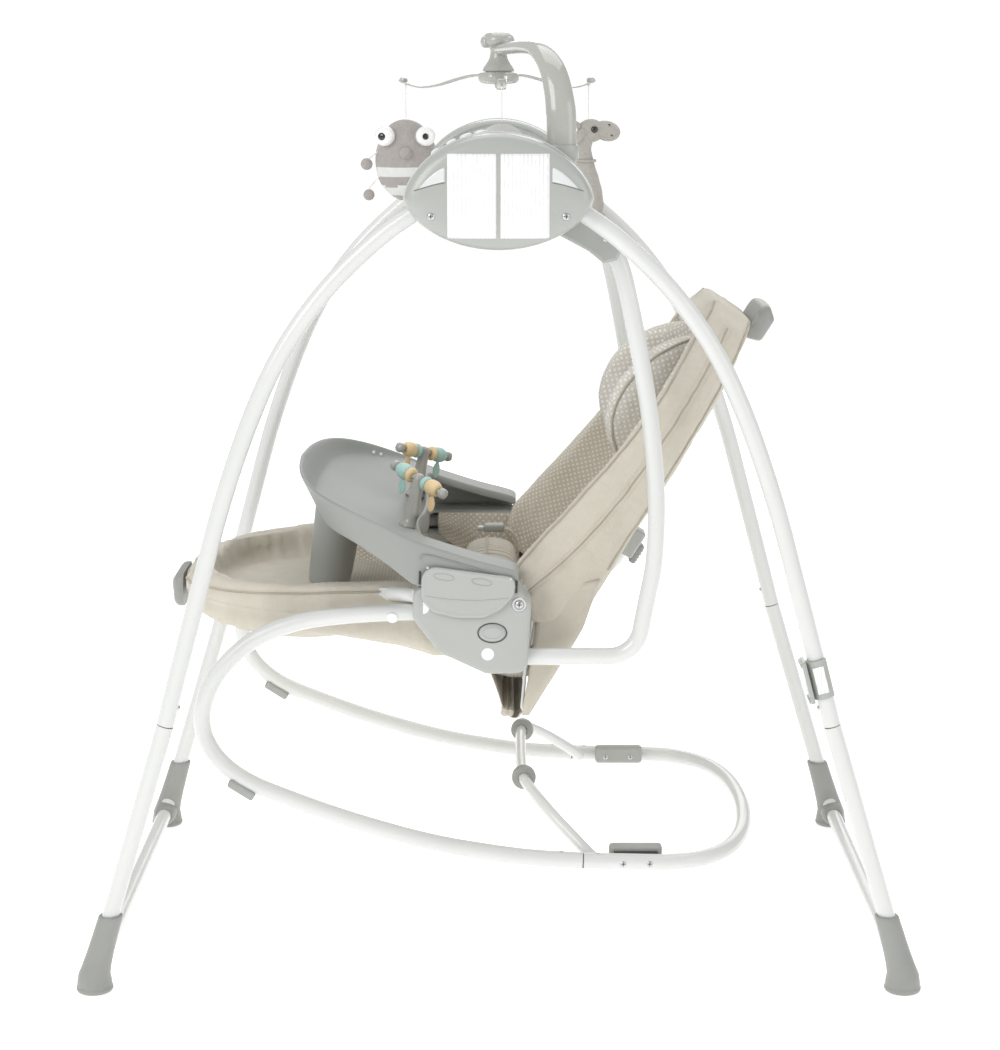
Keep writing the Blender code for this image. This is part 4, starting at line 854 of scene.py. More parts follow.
# ---------------------------------------------------------------- mobile arm
# A tapering glossy moulded arm stands in the near hub, bends over the seat
# and ends in a round head; the mobile turns on a spool below it.
mobile_plastic = Finish("glossy_mobile_plastic", (0.42, 0.42, 0.39), 0.16, Coat_Weight=0.5,
                        Coat_Roughness=0.06)
swirl = mobile_plastic.noise(14.0, 4.0)
mobile_plastic.set(Base_Color=mobile_plastic.tint(swirl, (0.395, 0.398, 0.366), (0.455, 0.455, 0.425)),
                   Roughness=swirl * 0.10 + 0.12, Normal=mobile_plastic.relief(mobile_plastic.noise(240.0),
                                                                0.00004))


def swept(name, rows, finish, body, *stands_for, n=28, sharp=50, side=EAST, caps="cap"):
    """Loft of oval sections: each row is x, y, z, half width, half thickness."""
    rings = []
    for i, row in enumerate(rows):
        a, b = Vector(rows[max(i - 1, 0)][:3]), Vector(rows[min(i + 1, len(rows) - 1)][:3])
        way = (b - a).normalized()
        wide = side - way * side.dot(way)
        wide.normalize()
        rings.append(ellipse(Vector(row[:3]), wide, way.cross(wide), row[3], row[4], n))
    return solid(name, *join_rings(rings, caps, caps), finish, body, *stands_for, sharp=sharp)


ARM_ROOT = -LEG_PLANE + 0.0175
arm_run = eased([(0.066, ARM_ROOT, 0.893), (0.066, ARM_ROOT, 0.935), (0.0645, ARM_ROOT + 0.002, 0.972),
                 (0.057, ARM_ROOT + 0.018, 1.006), (0.045, ARM_ROOT + 0.055, 1.0255),
                 (0.032, ARM_ROOT + 0.115, 1.030), (0.015, ARM_ROOT + 0.205, 1.0295),
                 (0.002, -0.004, 1.028)], 9)
last = len(arm_run) - 1
arm_rows = []
for i, p in enumerate(arm_run):
    w = 0.0155 - 0.0065 * max(0.0, (i / last - 0.25) / 0.75)
    arm_rows.append((*p, w, w * 0.68))
swept("mobile_arm_moulding", arm_rows, mobile_plastic, "stand", "mobile_arm", n=36)
swept("mobile_arm_collar", [(0.066, ARM_ROOT, 0.914, 0.0172, 0.0124),
                            (0.066, ARM_ROOT, 0.915, 0.0182, 0.0134),
                            (0.066, ARM_ROOT, 0.926, 0.0184, 0.0136),
                            (0.066, ARM_ROOT, 0.9285, 0.0178, 0.0130),
                            (0.066, ARM_ROOT, 0.929, 0.0158, 0.0110)], hub_plastic, "stand", n=36)
tube("mobile_arm_part_line", [(p[0] - (0.0155 - 0.0065 * max(0.0, (i / last - 0.25) / 0.75)) * 0.999, p[1],
                               p[2])
                              for i, p in enumerate(arm_run) if 14 < i < 40], 0.00035, arm_grey, "stand",
                              facets=6)

SPOOL_TOP = Vector((0.0, 0.0, 0.998))
turned("mobile_head", SPOOL_TOP, UP,
       [(0.0150, 0.0045), (0.0180, 0.0052), (0.0186, 0.0066), (0.0176, 0.0092), (0.0150, 0.0128),
        (0.0122, 0.017),
        (0.0104, 0.021), (0.0096, 0.025), (0.0095, 0.028), (0.0105, 0.0312), (0.0140, 0.0335),
        (0.0175, 0.036),
        (0.0187, 0.0385), (0.0186, 0.042), (0.0172, 0.0455), (0.0140, 0.0482), (0.0090, 0.0496),
        (0.0030, 0.0500)],
       mobile_plastic, "stand", n=48)
for i, deg in enumerate((200, 320, 80)):
    a = math.radians(deg)
    knuckle = SPOOL_TOP + Vector((0.0165 * math.cos(a), 0.0165 * math.sin(a), 0.0385))
    turned("mobile_head_lobe_%d" % (i + 1), knuckle, (math.cos(a), math.sin(a), 0),
           [(0.0066, -0.004), (0.0068, 0.001), (0.0055, 0.0035), (0.0025, 0.0048)], mobile_plastic,
           "stand", n=24)

# ---------------------------------------------------------------- mobile
# Three thin moulded ribbons spread from a stepped disc; each dips, rises and
# ends in a small folded clip that holds a string.
turned("mobile_disc", SPOOL_TOP, UP,
       [(0.0060, -0.0096), (0.0120, -0.0092), (0.0190, -0.0082), (0.0212, -0.0072), (0.0233, -0.0055),
        (0.0237, -0.0020),
        (0.0235, 0.0016), (0.0222, 0.0034), (0.0200, 0.0041), (0.0120, 0.0043)], mobile_plastic, "mobile",
        "mobile_spinner", n=48)
ANGLES = {"bug": 151.6, "giraffe": 31.6, "cloud": 271.6}
RIBBON = [(0.006, 0.0010, 0.0080, 0.0018), (0.030, 0.0008, 0.0090, 0.0016),
          (0.055, -0.0040, 0.0080, 0.0014),
          (0.080, -0.0108, 0.0065, 0.0012), (0.100, -0.0134, 0.0055, 0.0012),
          (0.115, -0.0115, 0.0052, 0.0013),
          (0.128, -0.0072, 0.0056, 0.0014), (0.1325, -0.0062, 0.0036, 0.0012)]
for toy in TOYS:
    a = math.radians(ANGLES[toy])
    out, across = Vector((math.cos(a), math.sin(a), 0)), Vector((-math.sin(a), math.cos(a), 0))
    rings = []
    for r, z, w, t in eased(RIBBON, 6):
        c = SPOOL_TOP + out * r + UP * z
        rings.append([c + across * (w * math.copysign(abs(math.cos(q)) ** 0.5, math.cos(q)))
                      + UP * (t * math.sin(q)) for q in (math.tau * (k + 0.5) / 20 for k in range(20))])
    solid("mobile_ribbon_" + toy, *join_rings(rings), mobile_plastic, "mobile", sharp=55)
    tip = SPOOL_TOP + out * 0.128 - UP * 0.0055
    turned("mobile_clip_" + toy, tip, across, [(0.0012, -0.0050), (0.0030, -0.0046), (0.0034, -0.0035),
                                               (0.0034, 0.0035),
                                               (0.0030, 0.0046), (0.0012, 0.0050)], mobile_plastic,
                                               "mobile", n=20)
    turned("mobile_knot_" + toy, string_end[toy] + UP * 0.0385, UP,
           [(0.0008, -0.0016), (0.0016, -0.0008), (0.0017, 0.0003), (0.0010, 0.0011)], string_nylon,
           "toy_" + toy, n=14)

# ---------------------------------------------------------------- plush toys
# Small stuffed toys in short-pile plush: a round striped beetle with big
# eyes, a long-necked animal and a cloud.
def plush(name, dark, light, pile=1.0):
    made = Finish(name, light, 0.95, Sheen_Weight=0.5, Sheen_Roughness=0.4)
    tuft, clump = made.noise(900.0, 4.0), made.noise(160.0, 5.0)
    made.set(Base_Color=made.tint(tuft * 0.5 + clump * 0.5, dark, light), Roughness=clump * 0.1 + 0.88,
             Normal=made.relief(tuft, 0.0005 * pile, made.relief(clump, 0.0016 * pile)))
    return made


grey_plush = plush("grey_plush", (0.30, 0.275, 0.26), (0.47, 0.445, 0.425))
white_plush = plush("white_plush", (0.55, 0.56, 0.54), (0.84, 0.85, 0.83), 0.7)
sand_plush = plush("sand_plush", (0.33, 0.31, 0.275), (0.56, 0.54, 0.50))
pale_plush = plush("pale_grey_plush", (0.42, 0.42, 0.41), (0.66, 0.66, 0.65))
eye_white = Finish("glossy_eye_white", (0.86, 0.86, 0.86), 0.15, Coat_Weight=0.6)
eye_white.set(Base_Color=eye_white.tint(eye_white.noise(90.0), (0.83, 0.83, 0.83), (0.89, 0.89, 0.89)))
eye_black = Finish("glossy_eye_black", (0.012, 0.012, 0.012), 0.12, Coat_Weight=0.8)
eye_black.set(Roughness=eye_black.noise(200.0) * 0.08 + 0.08)


def stuffed(name, centre, radii, finish, body, *stands_for, tilt=(0, (0, 1, 0)), lumps=0.0, top=None, n=40,
            m=24):
    """A stuffed round form with soft lumps; top, if given, paints bands by height."""
    spin = Matrix.Rotation(tilt[0], 3, Vector(tilt[1]))
    rings = []
    for k in range(1, m):
        t = math.pi * k / m
        ring = []
        for i in range(n):
            a = math.tau * i / n
            p = Vector((math.sin(t) * math.cos(a), math.sin(t) * math.sin(a), -math.cos(t)))
            q = Vector((p.x * radii[0], p.y * radii[1], p.z * radii[2]))
            q += p * (lumps * noise.noise((q + Vector(centre)) * 45.0))
            ring.append(Vector(centre) + spin @ q)
        rings.append(ring)
    piece = solid(name, *join_rings(rings), finish, body, *stands_for, sharp=180)
    max(radii) > 0.014
    if top:
        kinds = []
        for finish in top[0]:
            if finish.material.name not in piece.data.materials:
                piece.data.materials.append(finish.material)
            kinds.append(list(piece.data.materials).index(finish.material))
        for face in piece.data.polygons:
            share = (face.center.z - (Vector(centre).z - radii[2])) / (2 * radii[2])
            face.material_index = kinds[sum(share > edge for edge in top[1])]
    return piece


# beetle
end = string_end["bug"]
belly = end + Vector((0, 0, -0.0492))
stuffed("beetle_body", belly, (0.0365, 0.0268, 0.0485), grey_plush, "toy_bug", "toy_bug", lumps=0.0010,
        n=56, m=40,
        top=((grey_plush, white_plush, grey_plush, white_plush, grey_plush), (0.08, 0.19, 0.30, 0.44)))
for s in (-1, 1):
    base = end + Vector((s * 0.0225, -0.0165, -0.0205))
    way = Vector((s * 0.30 - 0.06, -0.93, 0.05)).normalized()
    turned("beetle_eye_%s" % ("left" if s < 0 else "right"), base, way,
           [(0.0100, -0.002), (0.0116, 0.001), (0.0118, 0.0060), (0.0112, 0.0084), (0.0096, 0.0102),
            (0.0070, 0.0112),
            (0.0030, 0.0116)], eye_white, "toy_bug", n=36)
    turned("beetle_pupil_%s" % ("left" if s < 0 else "right"),
           base + way * 0.0100 + Vector((-0.0012, 0, -0.0006)), way,
           [(0.0046, 0.0), (0.0046, 0.0012), (0.0038, 0.0019), (0.0014, 0.0022)], eye_black, "toy_bug",
           n=28)
stuffed("beetle_nose", end + Vector((0.0005, -0.0275, -0.0400)), (0.0072, 0.0068, 0.0066), grey_plush,
        "toy_bug", lumps=0.0004)
tube("beetle_belt_seam", [belly + Vector((0.0352 * math.cos(q), 0.0258 * math.sin(q), -0.0026))
                          for q in (math.tau * k / 48 for k in range(48))], 0.0006, grey_plush, "toy_bug",
                          facets=8, closed=True)
for i, (dx, dy, dz, r) in enumerate(((-0.0465, -0.012, -0.0420, 0.0072),
                                     (-0.0440, -0.014, -0.0780, 0.0066))):
    paw = belly + Vector((dx, dy, dz + 0.038))
    root = belly + Vector((-0.031, -0.008, 0.012 - 0.030 * i))
    stuffed("beetle_paw_%d" % (i + 1), paw, (r, r * 0.7, r), grey_plush, "toy_bug", lumps=0.0004, n=28,
            m=16)
    tube("beetle_limb_%d" % (i + 1), eased([root, (root + paw) / 2 + Vector((-0.005, 0, -0.002)), paw], 6),
         0.0007,
         string_nylon, "toy_bug", facets=8)

# long-necked animal, looking away from the mobile
end = string_end["giraffe"]
neck = eased([(-0.004, 0, -0.018, 0.0120), (-0.007, 0, -0.036, 0.0108), (-0.004, 0, -0.056, 0.0120),
              (0.000, 0, -0.080, 0.0150),
              (0.004, 0, -0.104, 0.0150), (0.006, 0, -0.119, 0.0095)], 6)
swept("long_neck_body", [(end.x + x, end.y, end.z + z, r + 0.0008 * noise.noise(Vector((x, r, z)) * 90),
                          r * 0.86)
                         for x, y, z, r in neck], sand_plush, "toy_giraffe", "toy_giraffe", n=32, sharp=180)
stuffed("long_neck_head", end + Vector((0.003, 0, -0.0150)), (0.0165, 0.0118, 0.0138), sand_plush,
        "toy_giraffe", lumps=0.0010)
stuffed("long_neck_muzzle", end + Vector((0.0215, 0, -0.0150)), (0.0165, 0.0112, 0.0120), sand_plush,
        "toy_giraffe",
        tilt=(math.radians(10), (0, 1, 0)), lumps=0.0008)
stuffed("long_neck_rump", end + Vector((-0.0130, 0.002, -0.0850)), (0.0190, 0.0120, 0.0170), sand_plush,
        "toy_giraffe",
        tilt=(math.radians(20), (0, 1, 0)), lumps=0.0014)
for i, s in enumerate((-1, 1)):
    stuffed("long_neck_ear_%d" % (i + 1), end + Vector((-0.0100, s * 0.0100, -0.0210)),
            (0.0050, 0.0032, 0.0100), sand_plush,
            "toy_giraffe", tilt=(math.radians(28), (0, 1, 0)), lumps=0.0004, n=24, m=14)
    stuffed("long_neck_horn_%d" % (i + 1), end + Vector((-0.0125, s * 0.0052, -0.0085)),
            (0.0036, 0.0030, 0.0055), sand_plush,
            "toy_giraffe", tilt=(math.radians(-40), (0, 1, 0)), n=20, m=12)
    turned("long_neck_eye_%d" % (i + 1), end + Vector((0.0068, s * 0.0104, -0.0130)), (0.12, s, 0.1),
           [(0.0042, 0.0), (0.0041, 0.0010), (0.0033, 0.0020), (0.0013, 0.0026)], eye_black, "toy_giraffe",
           n=24)
    stuffed("long_neck_nostril_%d" % (i + 1), end + Vector((0.0270, s * 0.0098, -0.0195)),
            (0.0024, 0.0011, 0.0009), eye_black,
            "toy_giraffe", tilt=(math.radians(40), (0, 1, 0)), n=16, m=8)
    stuffed("long_neck_brow_%d" % (i + 1), end + Vector((0.0245, s * 0.0102, -0.0075)),
            (0.0016, 0.0008, 0.0010), eye_black,
            "toy_giraffe", tilt=(math.radians(20), (0, 1, 0)), n=16, m=8)
tube("long_neck_ribbon", [end + Vector((-0.004 + 0.0122 * math.cos(q), 0.0108 * math.sin(q), -0.0500))
                          for q in (math.tau * k / 36 for k in range(36))], 0.0018, sand_plush,
                          "toy_giraffe", facets=10,
     closed=True)

# cloud
end = string_end["cloud"]
for i, (dx, dy, dz, rx, ry, rz) in enumerate(((0, 0, -0.0310, 0.0290, 0.0205, 0.0290),
                                              (-0.0150, 0, -0.0370, 0.0150, 0.0170, 0.0180),
                                              (0.0155, 0, -0.0350, 0.0145, 0.0170, 0.0170),
                                              (0.0, 0, -0.0440, 0.0240, 0.0190, 0.0165))):
    stuffed("plush_cloud_%d" % (i + 1), end + Vector((dx, dy, dz)), (rx, ry, rz), pale_plush, "toy_cloud",
            *(("toy_cloud",) if i == 0 else ()), lumps=0.0012, n=44, m=28)
stuffed("cloud_eye", end + Vector((0.0130, -0.0178, -0.0190)), (0.0016, 0.0010, 0.0013), eye_black,
        "toy_cloud", n=16, m=8)
tube("cloud_top_seam", [end + Vector((0.0285 * math.sin(q), -0.0012, -0.0310 + 0.0287 * math.cos(q)))
                        for q in (math.pi * (k / 24 - 0.5) for k in range(25))], 0.0005, pale_plush,
                        "toy_cloud", facets=6)

# ---------------------------------------------------------------- housings
# A moulded housing on each side joins the rail, the swing arm and the
# backrest hinge.  It has an oval release button, a screw and blank markers.
housing_plastic = Finish("housing_grey_plastic", (0.42, 0.435, 0.41), 0.36, Coat_Weight=0.12,
                         Coat_Roughness=0.2)
film = housing_plastic.noise(12.0, 3.0)
mark = housing_plastic.ramp(housing_plastic.noise(140.0, 8.0), (0.66, 0.0), (0.76, 1.0))
texture = housing_plastic.node("ShaderNodeTexVoronoi", None, Vector=housing_plastic.here, Scale=1300.0)
housing_plastic.set(
    Base_Color=housing_plastic.tint(mark * 0.22, housing_plastic.tint(film, (0.395, 0.41, 0.387),
                                                                (0.45, 0.463, 0.438)),
                                    (0.54, 0.55, 0.53)),
    Roughness=film * 0.14 + 0.30, Normal=housing_plastic.relief(texture, 0.00006))
HOUSE_OUT, HOUSE_IN = 0.255, 0.205


def softened(points, radius, steps=8):
    """Outline in x and z with every corner rounded."""
    points = [Vector((x, 0, z)) for x, z in points]
    line = []
    for i, p in enumerate(points):
        a, b = points[i - 1], points[(i + 1) % len(points)]
        half = (a - p).angle(b - p) / 2
        r = min(radius, 0.45 * min((a - p).length, (b - p).length) * math.tan(half))
        line += [(q.x, q.z) for q in rounded_corner(a, p, b, r, steps)]
    return line


def drawn_in(outline, d):
    """Outline moved inwards by d."""
    pts = [Vector(p) for p in outline]
    turn = 1 if sum(a.x * b.y - b.x * a.y for a, b in zip(pts, pts[1:] + pts[:1])) > 0 else -1
    line = []
    for i, p in enumerate(pts):
        a, b = pts[i - 1], pts[(i + 1) % len(pts)]
        n1, n2 = Vector((a.y - p.y, p.x - a.x)).normalized() * turn, Vector((p.y - b.y,
                                                                b.x - p.x)).normalized() * turn
        n = (n1 + n2).normalized()
        line.append(tuple(p + n * (d / max(0.6, n.dot(n1)))))
    return line


def cut_out(name, outline, layers, finish, body, *stands_for, sharp=35, caps=("cap", "cap")):
    """Moulded plate: layers of (inset, y) over one outline."""
    rings = [[Vector((x, y, z)) for x, z in drawn_in(outline, d)] for d, y in layers]
    return solid(name, *join_rings(rings, *caps), finish, body, *stands_for, sharp=sharp)


HOUSE_EDGE = softened([(-0.094, 0.4485), (-0.095, 0.412), (-0.066, 0.374), (-0.014, 0.3495),
                       (0.032, 0.3505),
                       (0.036, 0.4300), (0.020, 0.4485)], 0.014, 9)
BUTTON_EDGE = [(-0.007 + 0.0150 * math.cos(math.tau * k / 48),
                0.397 + 0.0100 * math.sin(math.tau * k / 48)) for k in range(48)]
marker_paper = Finish("white_round_marker", (0.86, 0.86, 0.86), 0.4)
marker_paper.set(Base_Color=marker_paper.tint(marker_paper.noise(200.0), (0.82, 0.82, 0.82),
                                              (0.90, 0.90, 0.90)))
for side, sy in SIDES:
    yo, yi = sy * HOUSE_OUT, sy * HOUSE_IN
    cut_out("housing_shell_" + side, HOUSE_EDGE,
            [(0.0070, yo), (0.0048, yo - sy * 0.0002), (0.0026, yo - sy * 0.0010),
             (0.0010, yo - sy * 0.0024), (0.0002, yo - sy * 0.0042),
             (0, yo - sy * 0.0060), (0, yi), (0.0024, yi), (0.0024, yo - sy * 0.0060),
             (0.0045, yo - sy * 0.0025)],
            housing_plastic, "seat", "side_housing_" + side, sharp=50)
    # groove round the oval button, a dark ring of painted shade, then the button with its raised pad
    tube("release_groove_" + side, [Vector((x, yo + sy * 0.0001, z)) for x, z in
                                    ((-0.007 + 0.0158 * math.cos(q), 0.397 + 0.0108 * math.sin(q))
                                     for q in (math.tau * k / 64 for k in range(64)))], 0.0007, lamp_black_and_recess_shade,
                                     "seat", facets=8,
         closed=True)
    cut_out("release_pad_" + side, BUTTON_EDGE,
            [(0.0060, yo + sy * 0.0014), (0.0030, yo + sy * 0.0013), (0.0012, yo + sy * 0.0008),
             (0.0005, yo), (0.0005, yo - sy * 0.004)],
            housing_plastic, "release_" + side, "release_button_" + side)
    tube("release_ring_" + side, [Vector((-0.007 + 0.0108 * math.cos(q), yo + sy * 0.00135,
                                          0.397 + 0.0064 * math.sin(q)))
                                  for q in (math.tau * k / 56 for k in range(56))], 0.00045,
                                  housing_plastic,
         "release_" + side, facets=8, closed=True)
    turned("hinge_boss_" + side, (0.0225, yo - sy * 0.002, 0.4290), (0, sy, 0),
           [(0.0082, 0), (0.0082, 0.0022), (0.0076, 0.0030), (0.0058, 0.0030), (0.0054, 0.0022),
            (0.0020, 0.0022)], bare_steel, "seat",
           n=36)
    screws("housing_screw_" + side, [((0.0225, yo + sy * 0.0012, 0.4290), (0, sy, 0))], 0.0050, "seat")
    for i, (x, z) in enumerate(((-0.0830, 0.4255), (-0.0120, 0.3730))):
        turned("round_marker_%s_%d" % (side, i + 1), (x, yo - sy * (0.0004 if i else 0.0008), z),
               (-0.0 if i else -0.12, sy, 0),
               [(0.0070, -0.0008), (0.0070, 0.0006), (0.0066, 0.0008), (0.002, 0.0008)], marker_paper,
               "seat", n=36)
    turned("rail_marker_" + side, (-0.1180, sy * (RAIL_PLANE + TUBE - 0.0012), 0.4080), (0, sy, -0.35),
           [(0.0062, -0.001), (0.0062, 0.0010), (0.0058, 0.0013), (0.002, 0.0014)], marker_paper, "seat",
           n=32)
    # stub of painted tube under the fabric, in front of the housing
    tube("frame_stub_" + side, [(-0.086, sy * 0.2270, 0.4325), (-0.102, sy * 0.2170, 0.4320),
                                (-0.120, sy * 0.2010, 0.4295)],
         0.0080, white_paint, "seat")
for name in ("seat_frame_tube", "back_frame_tube"):
    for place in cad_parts[name].material_slots:
        place.material = white_paint.material

# ---------------------------------------------------------------- tray
# One moulding: a dished front rim, two sloping arms with deep skirts and an
# oval post down to the leg rest.  It lifts off once both end flaps open.
tray_plastic = Finish("tray_grey_plastic", (0.33, 0.34, 0.32), 0.45, Specular_IOR_Level=0.3)
pool = tray_plastic.noise(8.0, 3.0)
swipe = tray_plastic.node("ShaderNodeMapping", None, Vector=tray_plastic.here, Scale=(20.0, 260.0, 60.0),
                          Rotation=(0.0, 0.0, 0.6))
hair = tray_plastic.ramp(tray_plastic.noise(1.0, 5.0, swipe), (0.62, 0.0), (0.72, 1.0))
tray_plastic.set(
    Base_Color=tray_plastic.tint(hair * 0.03, tray_plastic.tint(pool, (0.300, 0.311, 0.294),
                                                                (0.338, 0.348, 0.330)),
                                 (0.42, 0.43, 0.41)),
    Roughness=pool * 0.08 + hair * 0.02 + 0.40, Normal=tray_plastic.relief(tray_plastic.noise(1100.0),
                                                                0.00004))
FALL, SKIRT = 0.38, 0.4495
TRAY_STATIONS = [
    (0.022, 0.2555, 0.022, 0.2055, 0.4640, SKIRT, 0.0010, 0.0004),
    (0.012, 0.2555, 0.012, 0.2055, 0.4690, SKIRT, 0.0010, 0.0004),
    (-0.030, 0.2555, -0.030, 0.2055, 0.4800, SKIRT, 0.0010, 0.0004),
    (-0.080, 0.2555, -0.076, 0.2055, 0.4960, SKIRT, 0.0010, 0.0006),
    (-0.094, 0.2555, -0.084, 0.2025, 0.5010, SKIRT + 0.002, 0.0015, 0.0010),
    (-0.125, 0.2505, -0.088, 0.1855, 0.5150, 0.4700, 0.008, 0.0040),
    (-0.165, 0.2355, -0.090, 0.1555, 0.5310, 0.4910, 0.012, 0.0110),
    (-0.198, 0.2055, -0.089, 0.1205, 0.5430, 0.5000, 0.018, 0.0170),
    (-0.219, 0.1555, -0.086, 0.0855, 0.5500, 0.5030, 0.022, 0.0210),
    (-0.231, 0.0855, -0.084, 0.0455, 0.5535, 0.5050, 0.024, 0.0260),
    (-0.236, 0.0, -0.083, 0.0, 0.5550, 0.5050, 0.025, 0.0280)]


def tray_section(row, sy):
    xo, y0, xi, y1, top, low, lean, dep = row
    a, b = Vector((xo, sy * y0)), Vector((xi, sy * y1))
    w = (b - a).length
    t = (b - a) / w

    def at(v, z):
        q = a + t * v
        return Vector((q.x, q.y, z))

    def deck(v):
        return top - FALL * max(0.0, (a + t * v).x - xo)

    h = top - low
    v1, v2 = 0.0065 + lean * dep / h, 0.0036 + lean * (dep + 0.003) / h
    foot = min(deck(w) - 0.010, deck(w) - dep - 0.004)
    half = (v1 + w - 0.0065) / 2
    return [at(lean, low), at(lean * 0.97, low + 0.0012), at(0.0002 + lean * 0.12, top - h * 0.12 - 0.002),
            at(0.0, top - 0.0030),
            at(0.0008, top - 0.0008), at(0.002, top), at(0.0036, deck(0.0036) + 0.0001),
            at(0.0050, deck(0.0050) - min(0.0008, dep)),
            at(v1, deck(v1) - dep * 0.97), at(v1 + 0.002, deck(v1 + 0.002) - dep),
            at(half, deck(half) - dep),
            at(w - 0.0085, deck(w - 0.0085) - dep), at(w - 0.0065, deck(w - 0.0065) - dep * 0.97),
            at(w - 0.0048, deck(w - 0.0048) - min(0.0006, dep)), at(w - 0.0030, deck(w) + 0.0003),
            at(w - 0.0012, deck(w) - 0.0006),
            at(w, deck(w) - 0.003), at(w, foot + 0.0008), at(w - 0.0015, foot),
            at(w - 0.003, foot + 0.0008),
            at(w - 0.0035, deck(w - 0.0065) - dep - 0.003), at(half, deck(half) - dep - 0.003),
            at(v2, deck(v2) - dep - 0.003),
            at(lean + 0.0032, low + 0.0008), at(lean + 0.0016, low)]


rows = eased(TRAY_STATIONS[:4], 4)[:-1] + eased(TRAY_STATIONS[3:] , 6)
sections = [tray_section(r, -1) for r in rows] + [tray_section(r, 1) for r in rows[-2::-1]]
solid("tray_moulding", *join_rings(sections), tray_plastic, "tray", "tray", smooth=1)
# soft swell of the deck above each flap, and the recess line beside it
for side, sy in SIDES:
    tube("tray_deck_line_" + side,
         eased([(0.018, sy * 0.2562, 0.4580), (-0.030, sy * 0.2562, 0.4712), (-0.078, sy * 0.2562, 0.4845),
                (-0.086, sy * 0.2560, 0.4800)]),
         0.0006, tray_plastic, "tray", facets=10)
post = []
for z, cx, rx, ry in eased([(0.4010, -0.2035, 0.0236, 0.0266), (0.4030, -0.2033, 0.0246, 0.0276),
                            (0.4120, -0.202, 0.0259, 0.0289),
                            (0.4350, -0.1985, 0.0270, 0.0312), (0.4650, -0.194, 0.0280, 0.0330),
                            (0.4900, -0.1905, 0.0286, 0.0348)], 5):
    post.append(ellipse(Vector((cx, 0, z)), EAST, NORTH, rx, ry, 56))
rim = ellipse(Vector((-0.188, 0, 0)), EAST, NORTH, 0.0290, 0.0360, 56)
post.append([Vector((p.x, p.y, 0.5250 - FALL * (p.x + 0.236))) for p in rim])
inner_post = [[Vector((c.x + (p.x - c.x) * 0.90, p.y * 0.90, p.z + (0.0006 if i == 0 else 0.004)))
               for p in ring]
              for i, ring in enumerate(post[:1]) for c in [sum(ring, Vector()) / len(ring)]]
solid("tray_post", *join_rings(inner_post + post), tray_plastic, "tray", sharp=60)
# four small white domes on the far wall of the tray channel: painted highlights
set_on("tray_wall_pips", screw_form, [(Vector((x, y, z)), (0.25, -0.9, 0.3)) for x, y, z in
                                      ((-0.1605, 0.2235, 0.5215), (-0.1515, 0.2285, 0.5180),
                                       (-0.1655, 0.2210, 0.5165), (-0.1560, 0.2262, 0.5135))],
       0.0022, key_plastic, "tray")

# ---------------------------------------------------------------- end flaps
# A hinged flap with two oval finger marks closes each end of the tray over
# the housing; it hangs on two small pins.
FLAP_EDGE = softened([(-0.084, 0.4740), (0.019, 0.4600), (0.017, 0.4400), (0.002, 0.4240),
                      (-0.016, 0.4150), (-0.046, 0.4150),
                      (-0.072, 0.4210), (-0.085, 0.4360)], 0.016, 7)
for side, sy in SIDES:
    y0, y1 = sy * (HOUSE_OUT + 0.0022), sy * (HOUSE_OUT + 0.0060)
    cut_out("end_flap_" + side, FLAP_EDGE,
            [(0.0006, y0), (0, y0 + sy * 0.0006), (0, y1 - sy * 0.0014), (0.0005, y1 - sy * 0.0006),
             (0.0014, y1 - sy * 0.0001),
             (0.0030, y1), (0.0045, y1 - sy * 0.0003), (0.0065, y1 - sy * 0.0003)], housing_plastic,
             "latch_" + side,
            "tray_latch_" + side, sharp=45)
    for i, (x, z, r) in enumerate(((-0.0600, 0.4610, 0.0112), (-0.0185, 0.4552, 0.0110))):
        tube("finger_mark_%s_%d" % (side, i + 1),
             [Vector((x + r * math.cos(q), y1 - sy * 0.00018,
                      z - 0.14 * r * math.cos(q) + 0.0036 * math.sin(q)))
              for q in (math.tau * k / 48 for k in range(48))], 0.00042, arm_grey, "latch_" + side,
              facets=8, closed=True)
    tube("flap_fold_" + side, eased([(-0.080, y1 - sy * 0.0004, 0.4395), (-0.056, y1 - sy * 0.0003, 0.4360),
                                     (-0.024, y1 - sy * 0.0003, 0.4345),
                                     (0.012, y1 - sy * 0.0004, 0.4370)]), 0.0007,
         housing_plastic, "latch_" + side, facets=8)
    set_on("flap_pins_" + side, screw_form, [((-0.0775, y1 - sy * 0.0002, 0.4715), (0, sy, 0)),
                                             ((0.0135, y1 - sy * 0.0002, 0.4590), (0, sy, 0))],
           0.0016, bare_steel, "latch_" + side)
    # dark lines of painted shade in the slots at each end of the flap
    for x0, z0, x1, z1 in ((-0.0862, 0.4665, -0.0868, 0.4520), (0.0202, 0.4560, 0.0196, 0.4420)):
        tube("flap_slot_%s_%d" % (side, 1 if x0 < 0 else 2), [(x0, sy * (HOUSE_OUT + 0.0008), z0),
                                                              (x1, sy * (HOUSE_OUT + 0.0008), z1)],
             0.0011, lamp_black_and_recess_shade, "tray", facets=10)

